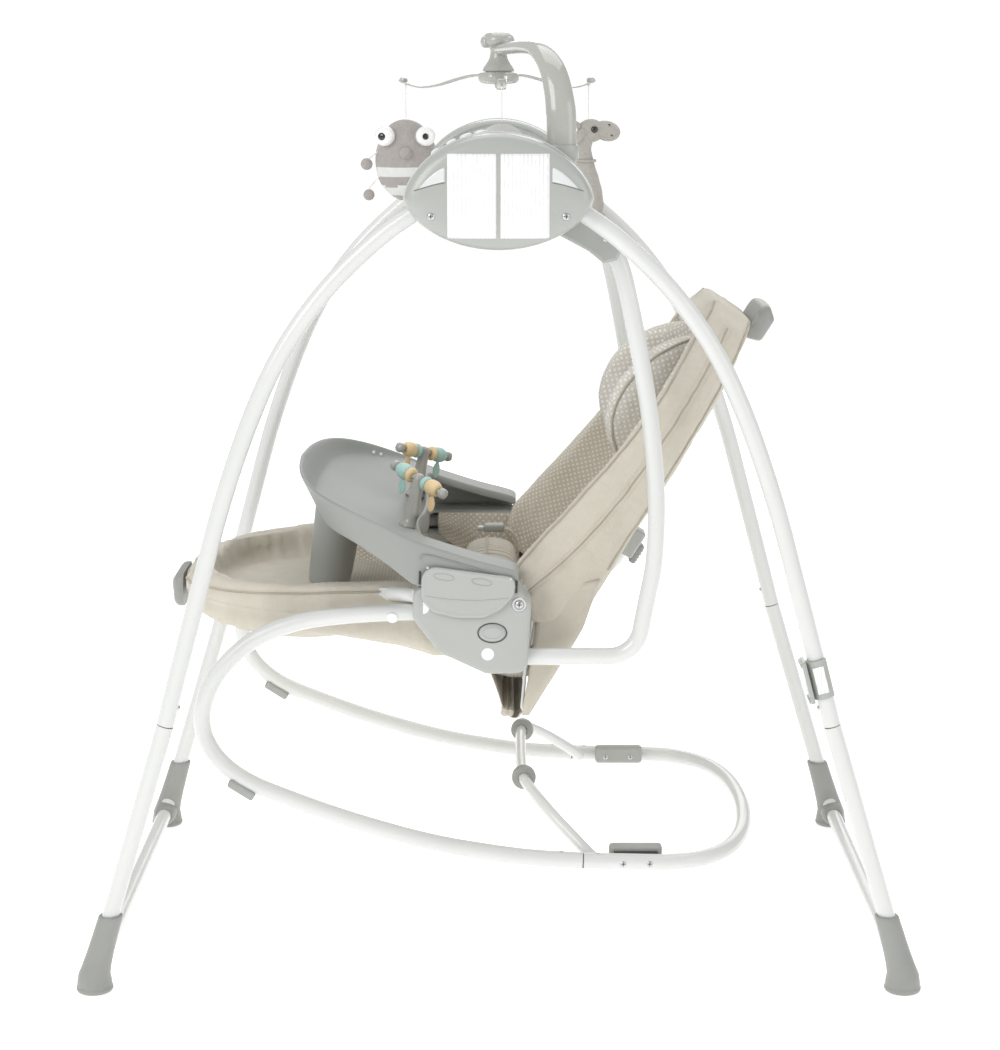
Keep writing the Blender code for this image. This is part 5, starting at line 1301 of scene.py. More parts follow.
# ---------------------------------------------------------------- toy bars
# Two tapered posts stand on the tray, each with a crossbar that carries two
# turning rollers: a ribbed barrel, a ring and a soft leaf.
mint = Finish("mint_toy_plastic", (0.44, 0.68, 0.62), 0.42)
yellow = Finish("yellow_toy_plastic", (0.86, 0.66, 0.36), 0.42)
for finish, dark, light in ((mint, (0.38, 0.62, 0.57), (0.50, 0.73, 0.68)),
                            (yellow, (0.78, 0.58, 0.30), (0.90, 0.71, 0.44))):
    tone = finish.noise(70.0, 3.0)
    finish.set(Base_Color=finish.tint(tone, dark, light), Roughness=tone * 0.15 + 0.34,
               Normal=finish.relief(finish.noise(800.0), 0.00008))
for side, sy in SIDES:
    low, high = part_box("toy_post_" + side)
    foot = Vector((-0.103, sy * 0.100, low.z))
    rise = Vector((0.20, 0, 0.98)).normalized()
    foot.z = 0.5306 - FALL * 0.116 + 0.0012
    bar = Vector((0.635, sy * 0.735, -0.245)).normalized()
    crown = foot + rise * 0.0550
    turned("toy_post_stem_" + side, foot, rise,
           [(0.0060, -0.0012), (0.0120, -0.0010), (0.0128, 0.0004), (0.0122, 0.0022), (0.0102, 0.0048),
            (0.0092, 0.0085),
            (0.0082, 0.020), (0.0074, 0.034), (0.0066, 0.048), (0.0062, 0.0555), (0.0056, 0.0590),
            (0.0040, 0.0612), (0.0014, 0.0620)],
           mobile_plastic, "tray", "toy_post_" + side, n=40)
    turned("toy_bar_" + side, crown, bar,
           [(0.0015, -0.0492), (0.0042, -0.0486), (0.0058, -0.0470), (0.0062, -0.0445), (0.0058, -0.0415),
            (0.0040, -0.0400),
            (0.0030, -0.0392), (0.0030, 0.0392), (0.0040, 0.0400), (0.0058, 0.0415), (0.0062, 0.0445),
            (0.0058, 0.0470),
            (0.0042, 0.0486), (0.0015, 0.0492)], mobile_plastic, "tray", n=32)
    for tag, d in (("front", -1), ("rear", 1)):
        mate = "bead_roller_%s_%s" % (side, tag)
        centre = crown + bar * (d * 0.0235)
        barrel, ring, leaf = {("near", "front"): (mint, yellow, mint),
                              ("near", "rear"): (yellow, mint, yellow),
                              ("far", "front"): (yellow, mint, yellow),
                              ("far", "rear"): (mint, yellow, mint)}[side, tag]
        body = "bead_%s_%s" % (side, tag)
        turned("toy_barrel_%s_%s" % (side, tag), centre, bar * d,
               [(0.0034, -0.0050), (0.0070, -0.0048), (0.0080, -0.0036), (0.0090, -0.0010),
                (0.0093, 0.0022), (0.0094, 0.0042),
                (0.0090, 0.0072), (0.0080, 0.0100), (0.0072, 0.0118), (0.0060, 0.0128), (0.0034, 0.0130)],
                barrel, body, mate,
               n=36, closed=True)
        turned("toy_ring_%s_%s" % (side, tag), centre, bar * d,
               [(0.0034, -0.0130), (0.0064, -0.0130), (0.0082, -0.0118), (0.0090, -0.0094),
                (0.0082, -0.0068), (0.0066, -0.0056),
                (0.0034, -0.0056)], ring, body, n=36, closed=True)
        drop = (-UP + bar * bar.z).normalized()
        thin = drop.cross(bar)
        rings = []
        for h, w, t in eased([(0.0062, 0.0018, 0.0012), (0.0105, 0.0026, 0.0013), (0.0130, 0.0046, 0.0015),
                              (0.0185, 0.0062, 0.0017),
                              (0.0235, 0.0056, 0.0015), (0.0275, 0.0034, 0.0012),
                              (0.0290, 0.0010, 0.0006)], 5):
            rings.append(ellipse(centre + bar * (d * 0.004) + drop * h, bar, thin, w, t, 24))
        solid("toy_leaf_%s_%s" % (side, tag), *join_rings(rings), leaf, body, sharp=60)
        tube("leaf_vein_%s_%s" % (side, tag), [centre + bar * (d * 0.004) + drop * h + thin * (0.0014
                                                                if sy < 0 else -0.0014) * 1
                                               for h in (0.010, 0.014, 0.018, 0.022, 0.026)], 0.0005, leaf,
                                               body, facets=6)

# ---------------------------------------------------------------- seat cover
# One stitched sling over the frame tubes: beige twill outside and on the leg
# rest, dotted cotton inside, a puffed rim and a thin padded hammock floor.


def woven(name, dark, light, thread, slub, fuzz=0.25):
    """Woven cloth on the piece's own cloth map, in metres."""
    made = Finish(name, light, 0.9, Sheen_Weight=fuzz, Sheen_Roughness=0.5, Specular_IOR_Level=0.25)
    made.cloth = made.node("ShaderNodeUVMap", {"uv_map": "cloth"})
    warp = made.node("ShaderNodeTexWave", {"bands_direction": "X"}, Vector=made.cloth, Scale=0.314 / thread)
    weft = made.node("ShaderNodeTexWave", {"bands_direction": "Y"}, Vector=made.cloth, Scale=0.314 / thread)
    made.weave = warp * weft + (1 - warp) * (1 - weft)
    along = made.node("ShaderNodeMapping", None, Vector=made.cloth, Scale=(40.0, 1500.0, 1.0))
    cross = made.node("ShaderNodeMapping", None, Vector=made.cloth, Scale=(1500.0, 40.0, 1.0))
    made.slubs = (made.noise(1.0, 2.0, along) + made.noise(1.0, 2.0, cross)) * 0.5
    soft, crumple = made.noise(9.0, 4.0), made.noise(38.0, 5.0)
    tone = made.ramp(soft * 0.35 + crumple * 0.25 + made.slubs * slub + made.weave * 0.10, (0.22, 0.0),
                     (0.62, 1.0))
    made.ground = made.tint(tone, dark, light)
    made.bump = made.relief(made.weave, 0.00022, made.relief(made.slubs, 0.0004,
                                                             made.relief(crumple, 0.0030)))
    return made.set(Base_Color=made.ground, Roughness=soft * 0.10 + 0.84, Normal=made.bump)


def dotted(finish, pitch, share, spot):
    """Small raised dots in a staggered grid, printed on the weave."""
    turned_map = finish.node("ShaderNodeMapping", None, Vector=finish.cloth,
                             Rotation=(0.0, 0.0, math.radians(45)))
    cell = finish.node("ShaderNodeTexVoronoi", {"voronoi_dimensions": "2D"}, Vector=turned_map,
                       Scale=1 / pitch, Randomness=0.0)
    dot = finish.ramp(cell, (share - 0.04, 1.0), (share + 0.04, 0.0))
    return finish.set(Base_Color=finish.tint(dot * 0.95, finish.ground, spot),
                      Normal=finish.relief(dot, 0.0004, finish.bump))


beige_twill = woven("beige_twill", (0.545, 0.498, 0.402), (0.700, 0.660, 0.568), 0.0009, 0.30)
dotted_cotton = dotted(woven("dotted_taupe_cotton", (0.590, 0.530, 0.425), (0.690, 0.630, 0.520), 0.0008,
                             0.25), 0.0056, 0.27,
                       (0.93, 0.91, 0.86))
pillow_cotton = dotted(woven("dotted_pillow_cotton", (0.64, 0.60, 0.53), (0.75, 0.71, 0.64), 0.0008, 0.25),
                       0.0058, 0.28,
                       (0.96, 0.95, 0.92))
edge_binding = woven("beige_edge_binding", (0.45, 0.405, 0.32), (0.58, 0.535, 0.445), 0.0007, 0.2)

RIM_REACH, RIM_START, HALF, WALL = 0.172, -0.200, 0.200, 0.026
FLOOR = [(-0.372, 0.4000), (-0.330, 0.3950), (-0.250, 0.3910), (-0.180, 0.3880), (-0.120, 0.3800),
         (-0.085, 0.3710),
         (-0.060, 0.3647), (-0.040, 0.3450), (-0.015, 0.3310), (0.023, 0.3240), (0.056, 0.3290)]
RIM = [(-0.372, 0.4260), (-0.330, 0.4350), (-0.200, 0.4400), (-0.108, 0.4420), (-0.098, 0.4385),
       (-0.0870, 0.4100),
       (-0.075, 0.3830), (-0.060, 0.3660), (-0.040, 0.3470), (-0.015, 0.3330), (0.023, 0.3260),
       (0.056, 0.3310)]


def read(table, x):
    return float(np.interp(x, [a for a, _ in table], [b for _, b in table]))


def seat_width(x, wall=0.0):
    t = min(max((RIM_START - x) / (RIM_REACH - wall), 0.0), 1.0)
    return (HALF - wall) * (1 - t ** 2.2) ** 0.42


def channel(w, b, r, wi, f, lift=0.0, step=0.0):
    """Section of a padded channel: outer wall, rolled rim, inner wall, floor."""
    rr = max((w - wi) / 2, 0.001)
    h = min(rr, max((r - b) * 0.45, 0.001))
    k = min(0.014, w * 0.4, (r - b) * 0.4)
    half = [(w * q, b + lift * 1.35 * q ** 3) for q in (0.0, 0.2, 0.4, 0.6, 0.78)]
    edge = b + lift * 1.35
    half += [(w - step - k + k * math.sin(q), edge + k - k * math.cos(q)) for q in (0.3, 0.8, 1.2, 1.57)]
    top = max(r + lift, edge + k + 0.002)
    low = edge + k
    if step:
        half += [(w - step, low + (top - 0.044 - low) * q) for q in (0.3, 0.65,
                                                                0.95)] + [(w - step - 0.001, top - 0.040),
                                                                (w - 0.001, top - 0.034)]
    else:
        half += [(w, low + (top - h - low) * q) for q in (0.35, 0.7)]
    half += [((w + wi) / 2 + rr * math.cos(q), top - h + h * math.sin(q))
             for q in (0.0, 0.4, 0.8, 1.2, 1.57, 1.95, 2.35, 2.75, 3.14)]
    g = max(top - h - f - lift, 0.0)
    e = min(0.012, wi * 0.35)
    half += [(wi - e * 0.15, f + lift + g * 0.6), (wi - e * 0.45, f + lift + g * 0.25),
             (wi - e, f + lift * 0.9)]
    half += [((wi - e) * q, f + lift * q ** 3) for q in (0.82, 0.62, 0.42, 0.2, 0.0)]
    return half + [(-y, n) for y, n in half[-2:0:-1]]


def skinned(name, sections, finish):
    """Closed form through the sections, before it is stuffed."""
    return solid(name, *join_rings(sections), finish, None, sharp=180)


def made_final(piece):
    shape = bpy.data.meshes.new_from_object(piece.evaluated_get(bpy.context.evaluated_depsgraph_get()))
    piece.modifiers.clear()
    piece.data = shape
    return piece


STUFFING_FRAMES = 20


def swell(piece, voxel, pressure, cap):
    """Stuffs a closed form: even remesh, cloth under pressure, capped, smoothed."""
    even = piece.modifiers.new("even", "REMESH")
    even.mode, even.voxel_size, even.use_smooth_shade = "VOXEL", voxel, True
    made_final(piece)
    rest = np.array([v.co for v in piece.data.vertices])
    out = np.array([v.normal for v in piece.data.vertices])
    cloth = piece.modifiers.new("stuffing", "CLOTH")
    cloth.settings.quality = 4
    cloth.settings.mass = 0.25
    cloth.settings.tension_stiffness = cloth.settings.compression_stiffness = 12
    cloth.settings.bending_stiffness = 0.4
    cloth.settings.use_pressure = True
    cloth.settings.uniform_pressure_force = pressure
    cloth.settings.effector_weights.gravity = 0
    cloth.point_cache.frame_start, cloth.point_cache.frame_end = 1, STUFFING_FRAMES
    for f in range(1, STUFFING_FRAMES + 1):
        scene.frame_set(f)
    ready = piece.evaluated_get(bpy.context.evaluated_depsgraph_get())
    moved = np.array([v.co for v in ready.data.vertices])
    piece.modifiers.clear()
    scene.frame_set(1)
    shift = moved - rest
    # the frame inside holds the cover out, so no point sinks inwards
    swelled = (shift * out).sum(axis=1, keepdims=True)
    shift -= out * np.minimum(swelled, 0.0)
    size = np.linalg.norm(shift, axis=1, keepdims=True)
    capped = rest + shift * np.minimum(1.0, cap / np.maximum(size, 1e-9))
    piece.data.vertices.foreach_set("co", capped.ravel())
    even = piece.modifiers.new("finer", "SUBSURF")
    even.levels = even.render_levels = 1
    return made_final(piece)


def shaped(piece, move):
    """Moves every point along its normal by move(point, normal)."""
    mesh = piece.data
    at = np.array([v.co for v in mesh.vertices])
    way = np.array([v.normal for v in mesh.vertices])
    by = np.array([move(Vector(p), Vector(n)) for p, n in zip(at, way)])
    mesh.vertices.foreach_set("co", (at + way * by[:, None]).ravel())
    mesh.update()
    return piece


def seamed(piece, lines, depth, width):
    """Pulls the cloth in along sewn lines."""
    marks = [Vector(p) for line in lines for p in line]
    tree = KDTree(len(marks))
    for i, p in enumerate(marks):
        tree.insert(p, i)
    tree.balance()
    return shaped(piece, lambda p, n: -depth * math.exp(-(tree.find(p)[2] / width) ** 2))


def on_cloth(piece, line, lift=0.0):
    """A line laid on the finished cloth, with the way the cloth faces."""
    skin_tree = BVHTree.FromPolygons([v.co for v in piece.data.vertices],
                                     [tuple(f.vertices) for f in piece.data.polygons])
    laid = []
    for p in line:
        at, way, _, _ = skin_tree.find_nearest(Vector(p))
        laid.append((at + way * lift, way))
    return laid


def cloth_map(piece, chart):
    """Cloth map in metres: chart(point, normal) gives u, v and a finish slot."""
    mesh = piece.data
    layer = mesh.uv_layers.get("cloth") or mesh.uv_layers.new(name="cloth")
    for face in mesh.polygons:
        centre, way = face.center, face.normal
        _, _, kind, zone = chart(centre, way, None)
        face.material_index = kind
        for corner in face.loop_indices:
            u, v, _, _ = chart(mesh.vertices[mesh.loops[corner].vertex_index].co, way, zone)
            layer.data[corner].uv = (u, v)
    return piece


def between(points, step=0.004):
    """The same line with a point every few millimetres."""
    fine = []
    for a, b in zip(points, points[1:]):
        a, b = Vector(a), Vector(b)
        n = max(1, int((b - a).length / step))
        fine += [a.lerp(b, i / n) for i in range(n)]
    return fine + [Vector(points[-1])]


def tube_map(piece, line):
    """Cloth map for a cord of piping: along and round it."""
    mesh = piece.data
    layer = mesh.uv_layers.get("cloth") or mesh.uv_layers.new(name="cloth")
    tree = KDTree(len(line))
    for i, p in enumerate(line):
        tree.insert(p, i)
    tree.balance()
    for loop, spot in zip(mesh.loops, layer.data):
        p = mesh.vertices[loop.vertex_index].co
        at, i, _ = tree.find(p)
        spot.uv = (i * 0.004, math.atan2((p - at).z, (p - at).y) * 0.0025)
    return piece


def piping(name, piece, line, radius, finish, body, lift=0.0006):
    """A cord of bound piping sewn along a line on the cloth."""
    laid = [p for p, _ in on_cloth(piece, between(line), lift)]
    smooth = laid[:1] + [(a + b * 2 + c) / 4 for a, b, c in zip(laid, laid[1:], laid[2:])] + laid[-1:]
    cord = bent_tube.grow(name, path_mesh(smooth), Radius=radius, Facets=10, Finish=finish.material)
    tube_map(cord, smooth)
    if body:
        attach(cord, body)
    return cord


# One short thread form, set out along every sewn line.
stitch_form = bpy.data.objects.new("stitch_form", bpy.data.meshes.new("stitch_form"))
verts, faces = join_rings([[Vector((x, 0.00028 * r * math.cos(q), 0.00028 * r * math.sin(q)))
                            for q in (math.tau * k / 6 for k in range(6))]
                           for x, r in ((-0.0013, 0.3), (-0.0008, 1.0), (0.0008, 1.0), (0.0013, 0.3))])
stitch_form.data.from_pydata(verts, [], faces)
sewn = Growth("sewn_stitches", Form="Object", Pitch="Float", Finish="Material")
run = sewn.add("GeometryNodeResampleCurve", {"mode": "LENGTH"}, Length=sewn.sizes["Pitch"],
               Curve=sewn.add("GeometryNodeMeshToCurve", Mesh=sewn.sizes["Line"]))
sewn.close(sewn.add("GeometryNodeInstanceOnPoints", Points=run,
                    Instance=sewn.add("GeometryNodeObjectInfo", out=4, Object=sewn.sizes["Form"]),
                    Rotation=sewn.add("FunctionNodeAlignRotationToVector", {"axis": "X"},
                                      Vector=sewn.add("GeometryNodeInputTangent"))))
thread = Finish("beige_sewing_thread", (0.62, 0.56, 0.47), 0.7, Sheen_Weight=0.3)
twist = thread.noise(2500.0)
thread.set(Base_Color=thread.tint(twist, (0.50, 0.44, 0.36), (0.70, 0.64, 0.55)),
           Normal=thread.relief(twist, 0.0001))


def stitches(name, piece, line, body, pitch=0.0042, lift=0.00035):
    laid = [p for p, _ in on_cloth(piece, between(line), lift)]
    row = sewn.grow(name, path_mesh(laid), Form=stitch_form, Pitch=pitch, Finish=thread.material)
    if body:
        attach(row, body)
    return row


# hammock: sections from the toe of the leg rest to the fold below the back
sections = []
xs = [-0.3690, -0.3680, -0.3660, -0.3625, -0.3570, -0.3500, -0.3400, -0.3270] + [-0.312 + 0.0165 * k
                                                                for k in range(13)] + \
    [-0.104, -0.098, -0.092, -0.086, -0.080, -0.074, -0.067, -0.060, -0.050, -0.040, -0.027, -0.015, 0.0,
     0.015, 0.030, 0.044, 0.054]
for x in xs:
    w = max(seat_width(x + 0.0015), 0.020) - 0.0030
    wi = seat_width(x, WALL + 0.004) if x > RIM_START - RIM_REACH + WALL + 0.003 else 0
    r, f = read(RIM, x) - 0.0025, read(FLOOR, x)
    base = f - 0.0105
    if wi < 0.02:
        wi, f = w * 0.6, r - 0.0006
    hip = min(max((x + 0.075) / 0.050, 0.0), 1.0)
    hip = hip * hip * (3 - 2 * hip)
    if r - f < 0.0015:
        r = f + 0.0015
    crown = 0.0015 * math.sin(math.pi * min(max((x + 0.36) / 0.40, 0), 1))
    sections.append([Vector((x, y, n)) for y, n in channel(w, base, r, min(wi, w - 0.006), f + crown,
                                                           0.018 * hip)])
seat_pad = swell(skinned("seat_cover", sections, beige_twill), 0.0050, 4.0, 0.0060)

rim_line, rim_inner = {}, {}
for sy in (-1, 1):
    rim_line[sy] = [(x, sy * (max(seat_width(x), 0.020) - 0.001), read(RIM, x) - 0.010) for x in xs
                    if x < -0.050]
    rim_inner[sy] = [(x, sy * max(seat_width(x, WALL) + 0.002, 0.0), read(RIM, x) - 0.006) for x in xs
                     if -0.200 < x < -0.090]


def gathers(p, n):
    """Soft folds in the leg rest walls, gathered towards the toe."""
    side = min(1.0, math.hypot(n.x, n.y) * 1.2)
    toe = min(1.0, max(0.0, (-0.13 - p.x) / 0.20))
    turn = math.atan2(p.y, p.x + 0.200)
    fold = noise.noise(Vector((turn * 7.0, p.z * 9.0, 1.7))) * 1.6 + 0.8 * noise.noise(Vector((turn * 15.0,
                                                                p.z * 16.0, 5.0)))
    drag = noise.noise(Vector((p.x * 16 - p.z * 10, p.y * 16 + p.z * 6, p.z * 14)))
    return 0.0017 * fold * side * (0.3 + 0.7 * toe) + 0.0012 * drag


shaped(seat_pad, gathers)
side_seam = {sy: [(x, sy * (max(seat_width(x), 0.020) + 0.001),
                   read(RIM, x) - 0.028 - 0.016 * min(1, max(0, (x + 0.36) / 0.22)))
                  for x in xs if x < -0.104] for sy in (-1, 1)}
across = between([(-0.203, -0.165, 0.401), (-0.207, -0.100, 0.391), (-0.209, 0.0, 0.390),
                  (-0.207, 0.100, 0.391), (-0.203, 0.165, 0.401)])
seamed(seat_pad, [between(side_seam[-1]), between(side_seam[1]), across], 0.0022, 0.0050)
seat_pad.data.materials.append(dotted_cotton.material)


def seat_chart(p, n, zone):
    w = max(seat_width(p.x), 0.02)
    f = read(FLOOR, p.x)
    inside = abs(p.y) < w - WALL * 0.62 and p.z > f - 0.004
    kind = 1 if inside and p.x > -0.2055 else 0
    if zone is None:
        if n.z > 0.35 or (inside and p.x > -0.34):
            zone = "floor"
        elif n.z < -0.6:
            zone = "under"
        else:
            zone = "side" if abs(n.y) > 0.5 else "front"
    side = math.copysign(1, p.y)
    if zone == "floor":
        return p.x, p.y + side * max(0.0, p.z - f - 0.006) * 0.9, kind, zone
    if zone == "side":
        return p.x, side * (0.2 + p.z), kind, zone
    if zone == "front":
        return p.y, p.z, kind, zone
    return p.x, p.y, kind, zone


cloth_map(seat_pad, seat_chart)
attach(seat_pad, "seat")
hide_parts("seat_cushion")
toe_line = rim_line[-1][::-1] + rim_line[1]
piping("seat_rim_piping", seat_pad, toe_line, 0.0013, edge_binding, "seat")
piping("seat_panel_piping", seat_pad, across, 0.0012, edge_binding, "seat", 0.0002)
for side, sy in SIDES:
    stitches("seat_wall_stitches_" + side, seat_pad, [(x, y, z + 0.0045) for x, y, z in side_seam[sy]],
             "seat")
    stitches("seat_rim_stitches_" + side, seat_pad, rim_inner[sy], "seat")
stitches("seat_panel_stitches", seat_pad, [(p.x + 0.0045, p.y, p.z) for p in across], "seat")

# ---------------------------------------------------------------- backrest
# The backrest cover follows the leaning frame: beige walls with a sewn seam,
# dotted inside, and a winged head pillow with bound edges sits in it.
FRONT = [(0.010, 0.060), (0.035, 0.092), (0.060, 0.098), (0.100, 0.092), (0.150, 0.083), (0.200, 0.075),
         (0.250, 0.067), (0.300, 0.062), (0.390, 0.062), (0.428, 0.058)]
WIDTH = [(0.0, 0.200), (0.240, 0.196), (0.300, 0.186), (0.350, 0.166), (0.390, 0.138), (0.415, 0.108),
         (0.428, 0.080)]
UP_BACK, OFF_BACK = Vector((0.5276, 0, 0.8495)), Vector((-0.8495, 0, 0.5276))


def back(s, y, n):
    return Vector((0.068, y, 0.358)) + UP_BACK * s + OFF_BACK * n


def off_back(p):
    d = Vector(p) - Vector((0.068, 0, 0.358))
    return d.dot(UP_BACK), p.y, d.dot(OFF_BACK)


sections = []
stations = [0.0145, 0.0152, 0.0170, 0.0205, 0.026, 0.033, 0.041, 0.050] + [0.062 + 0.0162 * k
                                                                for k in range(20)] + \
    [0.380, 0.388, 0.395, 0.402, 0.409, 0.415, 0.420, 0.424, 0.4262, 0.4275]
for s in stations:
    w, r = read(WIDTH, s + 0.0015) - 0.0030, read(FRONT, s) - 0.0030
    top = min(max((s - 0.384) / 0.014, 0), 1)
    top = top * top * (3 - 2 * top)
    crown = 0.004 * math.sin(math.pi * min(max((s - 0.02) / 0.36, 0), 1))
    f = 0.0125 * (1 - top) + (r - 0.0008) * top
    wi = (w - WALL + 0.002) * (1 - top) + w * 0.62 * top
    low = 0.0045 if s < 0.022 else 0.0025
    sections.append([back(s, y, n) for y, n in channel(w, low, r, wi, f + crown * (1 - top))])
back_pad = swell(skinned("back_cover", sections, beige_twill), 0.0050, 4.0, 0.0060)


def drags(p, n):
    """Folds pulled from the hip corner up the walls, and a soft lumpy inside."""
    s, y, h = off_back(p)
    side = min(1.0, abs(n.y) * 1.3)
    low = max(0.0, 1 - s / 0.20)
    pull = noise.noise(Vector((h * 55 + s * 8, s * 9, y * 3))) + 0.5 * noise.noise(Vector((h * 90 - s * 30,
                                                                s * 14, 2.0)))
    lump = noise.noise(Vector((s * 17, y * 17, h * 12)))
    puckers = noise.noise(Vector((s * 70, y * 30, 4.0))) * max(0.0, (s - 0.34) / 0.09)
    return 0.0019 * pull * side * (0.25 + low) + 0.0014 * lump + 0.0016 * puckers


shaped(back_pad, drags)
wall_seam = {sy: [back(s, sy * (read(WIDTH, s) + 0.001), n) for s, n in
                  ((0.022, 0.0785), (0.040, 0.070), (0.066, 0.061), (0.093, 0.053), (0.122, 0.046),
                   (0.154, 0.040), (0.200, 0.034),
                   (0.260, 0.030), (0.320, 0.028), (0.380, 0.027), (0.410, 0.027))] for sy in (-1, 1)}
bolster = {sy: [back(s, sy * (read(WIDTH, s) - WALL - 0.010), 0.016)
                for s in (0.03, 0.08, 0.14, 0.20, 0.26, 0.32, 0.37)] for sy in (-1, 1)}
crossing = [back(0.172, y, 0.020) for y in (-0.15, -0.1, -0.05, 0, 0.05, 0.1, 0.15)]
seamed(back_pad, [between(line) for line in (wall_seam[-1], wall_seam[1], bolster[-1], bolster[1],
                                             crossing)], 0.0026, 0.0050)
back_pad.data.materials.append(dotted_cotton.material)


def back_chart(p, n, zone):
    s, y, h = off_back(p)
    w = read(WIDTH, s)
    inside = abs(y) < w - WALL * 0.60 and h > 0.008 and s < 0.394
    if zone is None:
        across = abs(n.y)
        zone = "in" if inside else "wall" if across > 0.55 else "rear"
    side = math.copysign(1, y)
    if zone == "in":
        return s, y + side * max(0.0, h - 0.020) * 0.9, 1, zone
    if zone == "wall":
        return s, side * (0.2 + h), 0, zone
    return s, y, 0, zone


cloth_map(back_pad, back_chart)
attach(back_pad, "back")
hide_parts("back_cushion")
rim_stations = [s for s in stations if s > 0.018]
for side, sy in SIDES:
    rim = [back(s, sy * (read(WIDTH, s) - 0.0035), read(FRONT, s) - 0.002) for s in rim_stations]
    piping("back_rim_piping_" + side, back_pad, rim, 0.0013, edge_binding, "back")
    piping("back_wall_seam_" + side, back_pad, wall_seam[sy], 0.0009, edge_binding, "back", -0.0001)
    stitches("back_wall_stitches_" + side, back_pad, [p + OFF_BACK * 0.0045 for p in wall_seam[sy]], "back")
    stitches("back_lower_stitches_" + side, back_pad, [p - OFF_BACK * 0.0042 for p in wall_seam[sy]],
             "back")
    rear = [back(s, sy * (read(WIDTH, s) - 0.006), 0.001) for s in rim_stations if s > 0.10]
    piping("back_rear_piping_" + side, back_pad, rear, 0.0013, edge_binding, "back")
stitches("back_panel_stitches", back_pad, [p + UP_BACK * 0.004 for p in crossing], "back")

# head pillow
table = [(0.207, 0.060, 0.026), (0.2085, 0.070, 0.030), (0.213, 0.083, 0.042), (0.221, 0.096, 0.054),
         (0.232, 0.103, 0.068),
         (0.248, 0.107, 0.080), (0.268, 0.109, 0.086), (0.290, 0.109, 0.088), (0.312, 0.107, 0.084),
         (0.334, 0.1045, 0.077),
         (0.352, 0.099, 0.066), (0.367, 0.092, 0.053), (0.377, 0.084, 0.042), (0.3825, 0.076, 0.034),
         (0.3845, 0.068, 0.030)]
sections = []
for s, w, h in table:
    r = max(0.015 + 0.95 * h, 0.036)
    floor = min(0.033 + 0.004 * math.sin(math.pi * (s - 0.2) / 0.19), r - 0.001)
    sections.append([back(s, y, n) for y, n in channel(w + 0.001, 0.0165, r, w - 0.026, floor)])
pillow = swell(skinned("head_pillow_cover", sections, pillow_cotton), 0.0045, 4.0, 0.0055)
shaped(pillow, lambda p, n: 0.0014 * noise.noise(p * 24) + 0.0009 * noise.noise(Vector((p.x * 60, p.y * 40,
                                                                p.z * 40))))
wing = {sy: [back(s, sy * (w + 0.001), 0.013 + 0.45 * h) for s, w, h in table[2:-1]] for sy in (-1, 1)}
fold = {sy: [back(s, sy * (w - 0.034), 0.036) for s, w, h in table[3:-2]] for sy in (-1, 1)}
seamed(pillow, [between(line) for line in (fold[-1], fold[1])], 0.0022, 0.0045)
seamed(pillow, [between(line) for line in (wing[-1], wing[1])], 0.0012, 0.0040)
pillow.data.materials.append(beige_twill.material)


def pillow_chart(p, n, zone):
    s, y, h = off_back(p)
    if zone is None:
        zone = "wall" if abs(n.y) > 0.6 and abs(y) > 0.07 else "face"
    side = math.copysign(1, y)
    if zone == "wall":
        return s, side * (0.3 + h), 0, zone
    return s, y + side * max(0.0, h - 0.034) * 0.9, 1 if h < 0.0215 else 0, zone


cloth_map(pillow, pillow_chart)
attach(pillow, "back")
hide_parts("head_pillow")
for side, sy in SIDES:
    piping("pillow_wing_piping_" + side, pillow, [back(s, sy * (w + 0.002), max(0.012 + 0.88 * h, 0.030))
                                                  for s, w, h in table[1:]], 0.0016,
           edge_binding, "back")
    piping("pillow_lower_piping_" + side, pillow, [back(s, sy * (w + 0.002), 0.0205) for s, w,
                                                   h in table[1:]], 0.0016, edge_binding, "back")
    stitches("pillow_stitches_" + side, pillow, [p + OFF_BACK * 0.001 for p in fold[sy]], "back")

# grab handle behind the head
rings = []
for row in eased([(y, k) for y, k in ((-0.0555, 0.42), (-0.053, 0.70), (-0.047, 0.90), (-0.025, 0.985),
                                      (0.0, 1.0),
                                      (0.025, 0.985), (0.047, 0.90), (0.053, 0.70), (0.0555, 0.42))], 4):
    y, k = row[0], row[1]
    corners = [(0.402 + 0.020 * (1 - k), -0.0008), (0.448 - 0.012 * (1 - k), -0.0008),
               (0.4525 - 0.014 * (1 - k), -0.010),
               (0.441 - 0.010 * (1 - k), -0.021 * k - 0.004), (0.410 + 0.010 * (1 - k), -0.022 * k - 0.003)]
    rings.append([back(s, y, n) for s, n in softened(corners, 0.006, 4)])
solid("back_handle_shell", *join_rings(rings), boot_plastic, "back", "back_handle", sharp=55)

# recline catch behind the backrest
block("recline_catch_body", back(0.140, -0.100, -0.0125), UP_BACK, OFF_BACK, (0.034, 0.030, 0.021),
      hub_plastic, "back", edge=0.003)
block("recline_catch_lever", back(0.131, -0.100, -0.026), UP_BACK, OFF_BACK, (0.024, 0.020, 0.008),
      boot_plastic, "back", edge=0.0025)
for k in range(4):
    block("recline_catch_rib_%d" % k, back(0.124 + 0.0045 * k, -0.100, -0.0302), NORTH, OFF_BACK,
          (0.016, 0.0014, 0.0012), boot_plastic,
          "back", edge=0.0004)
block("recline_strap", back(0.085, -0.100, -0.0042), UP_BACK, OFF_BACK, (0.085, 0.022, 0.0016),
      edge_binding, "back", edge=0.0006)

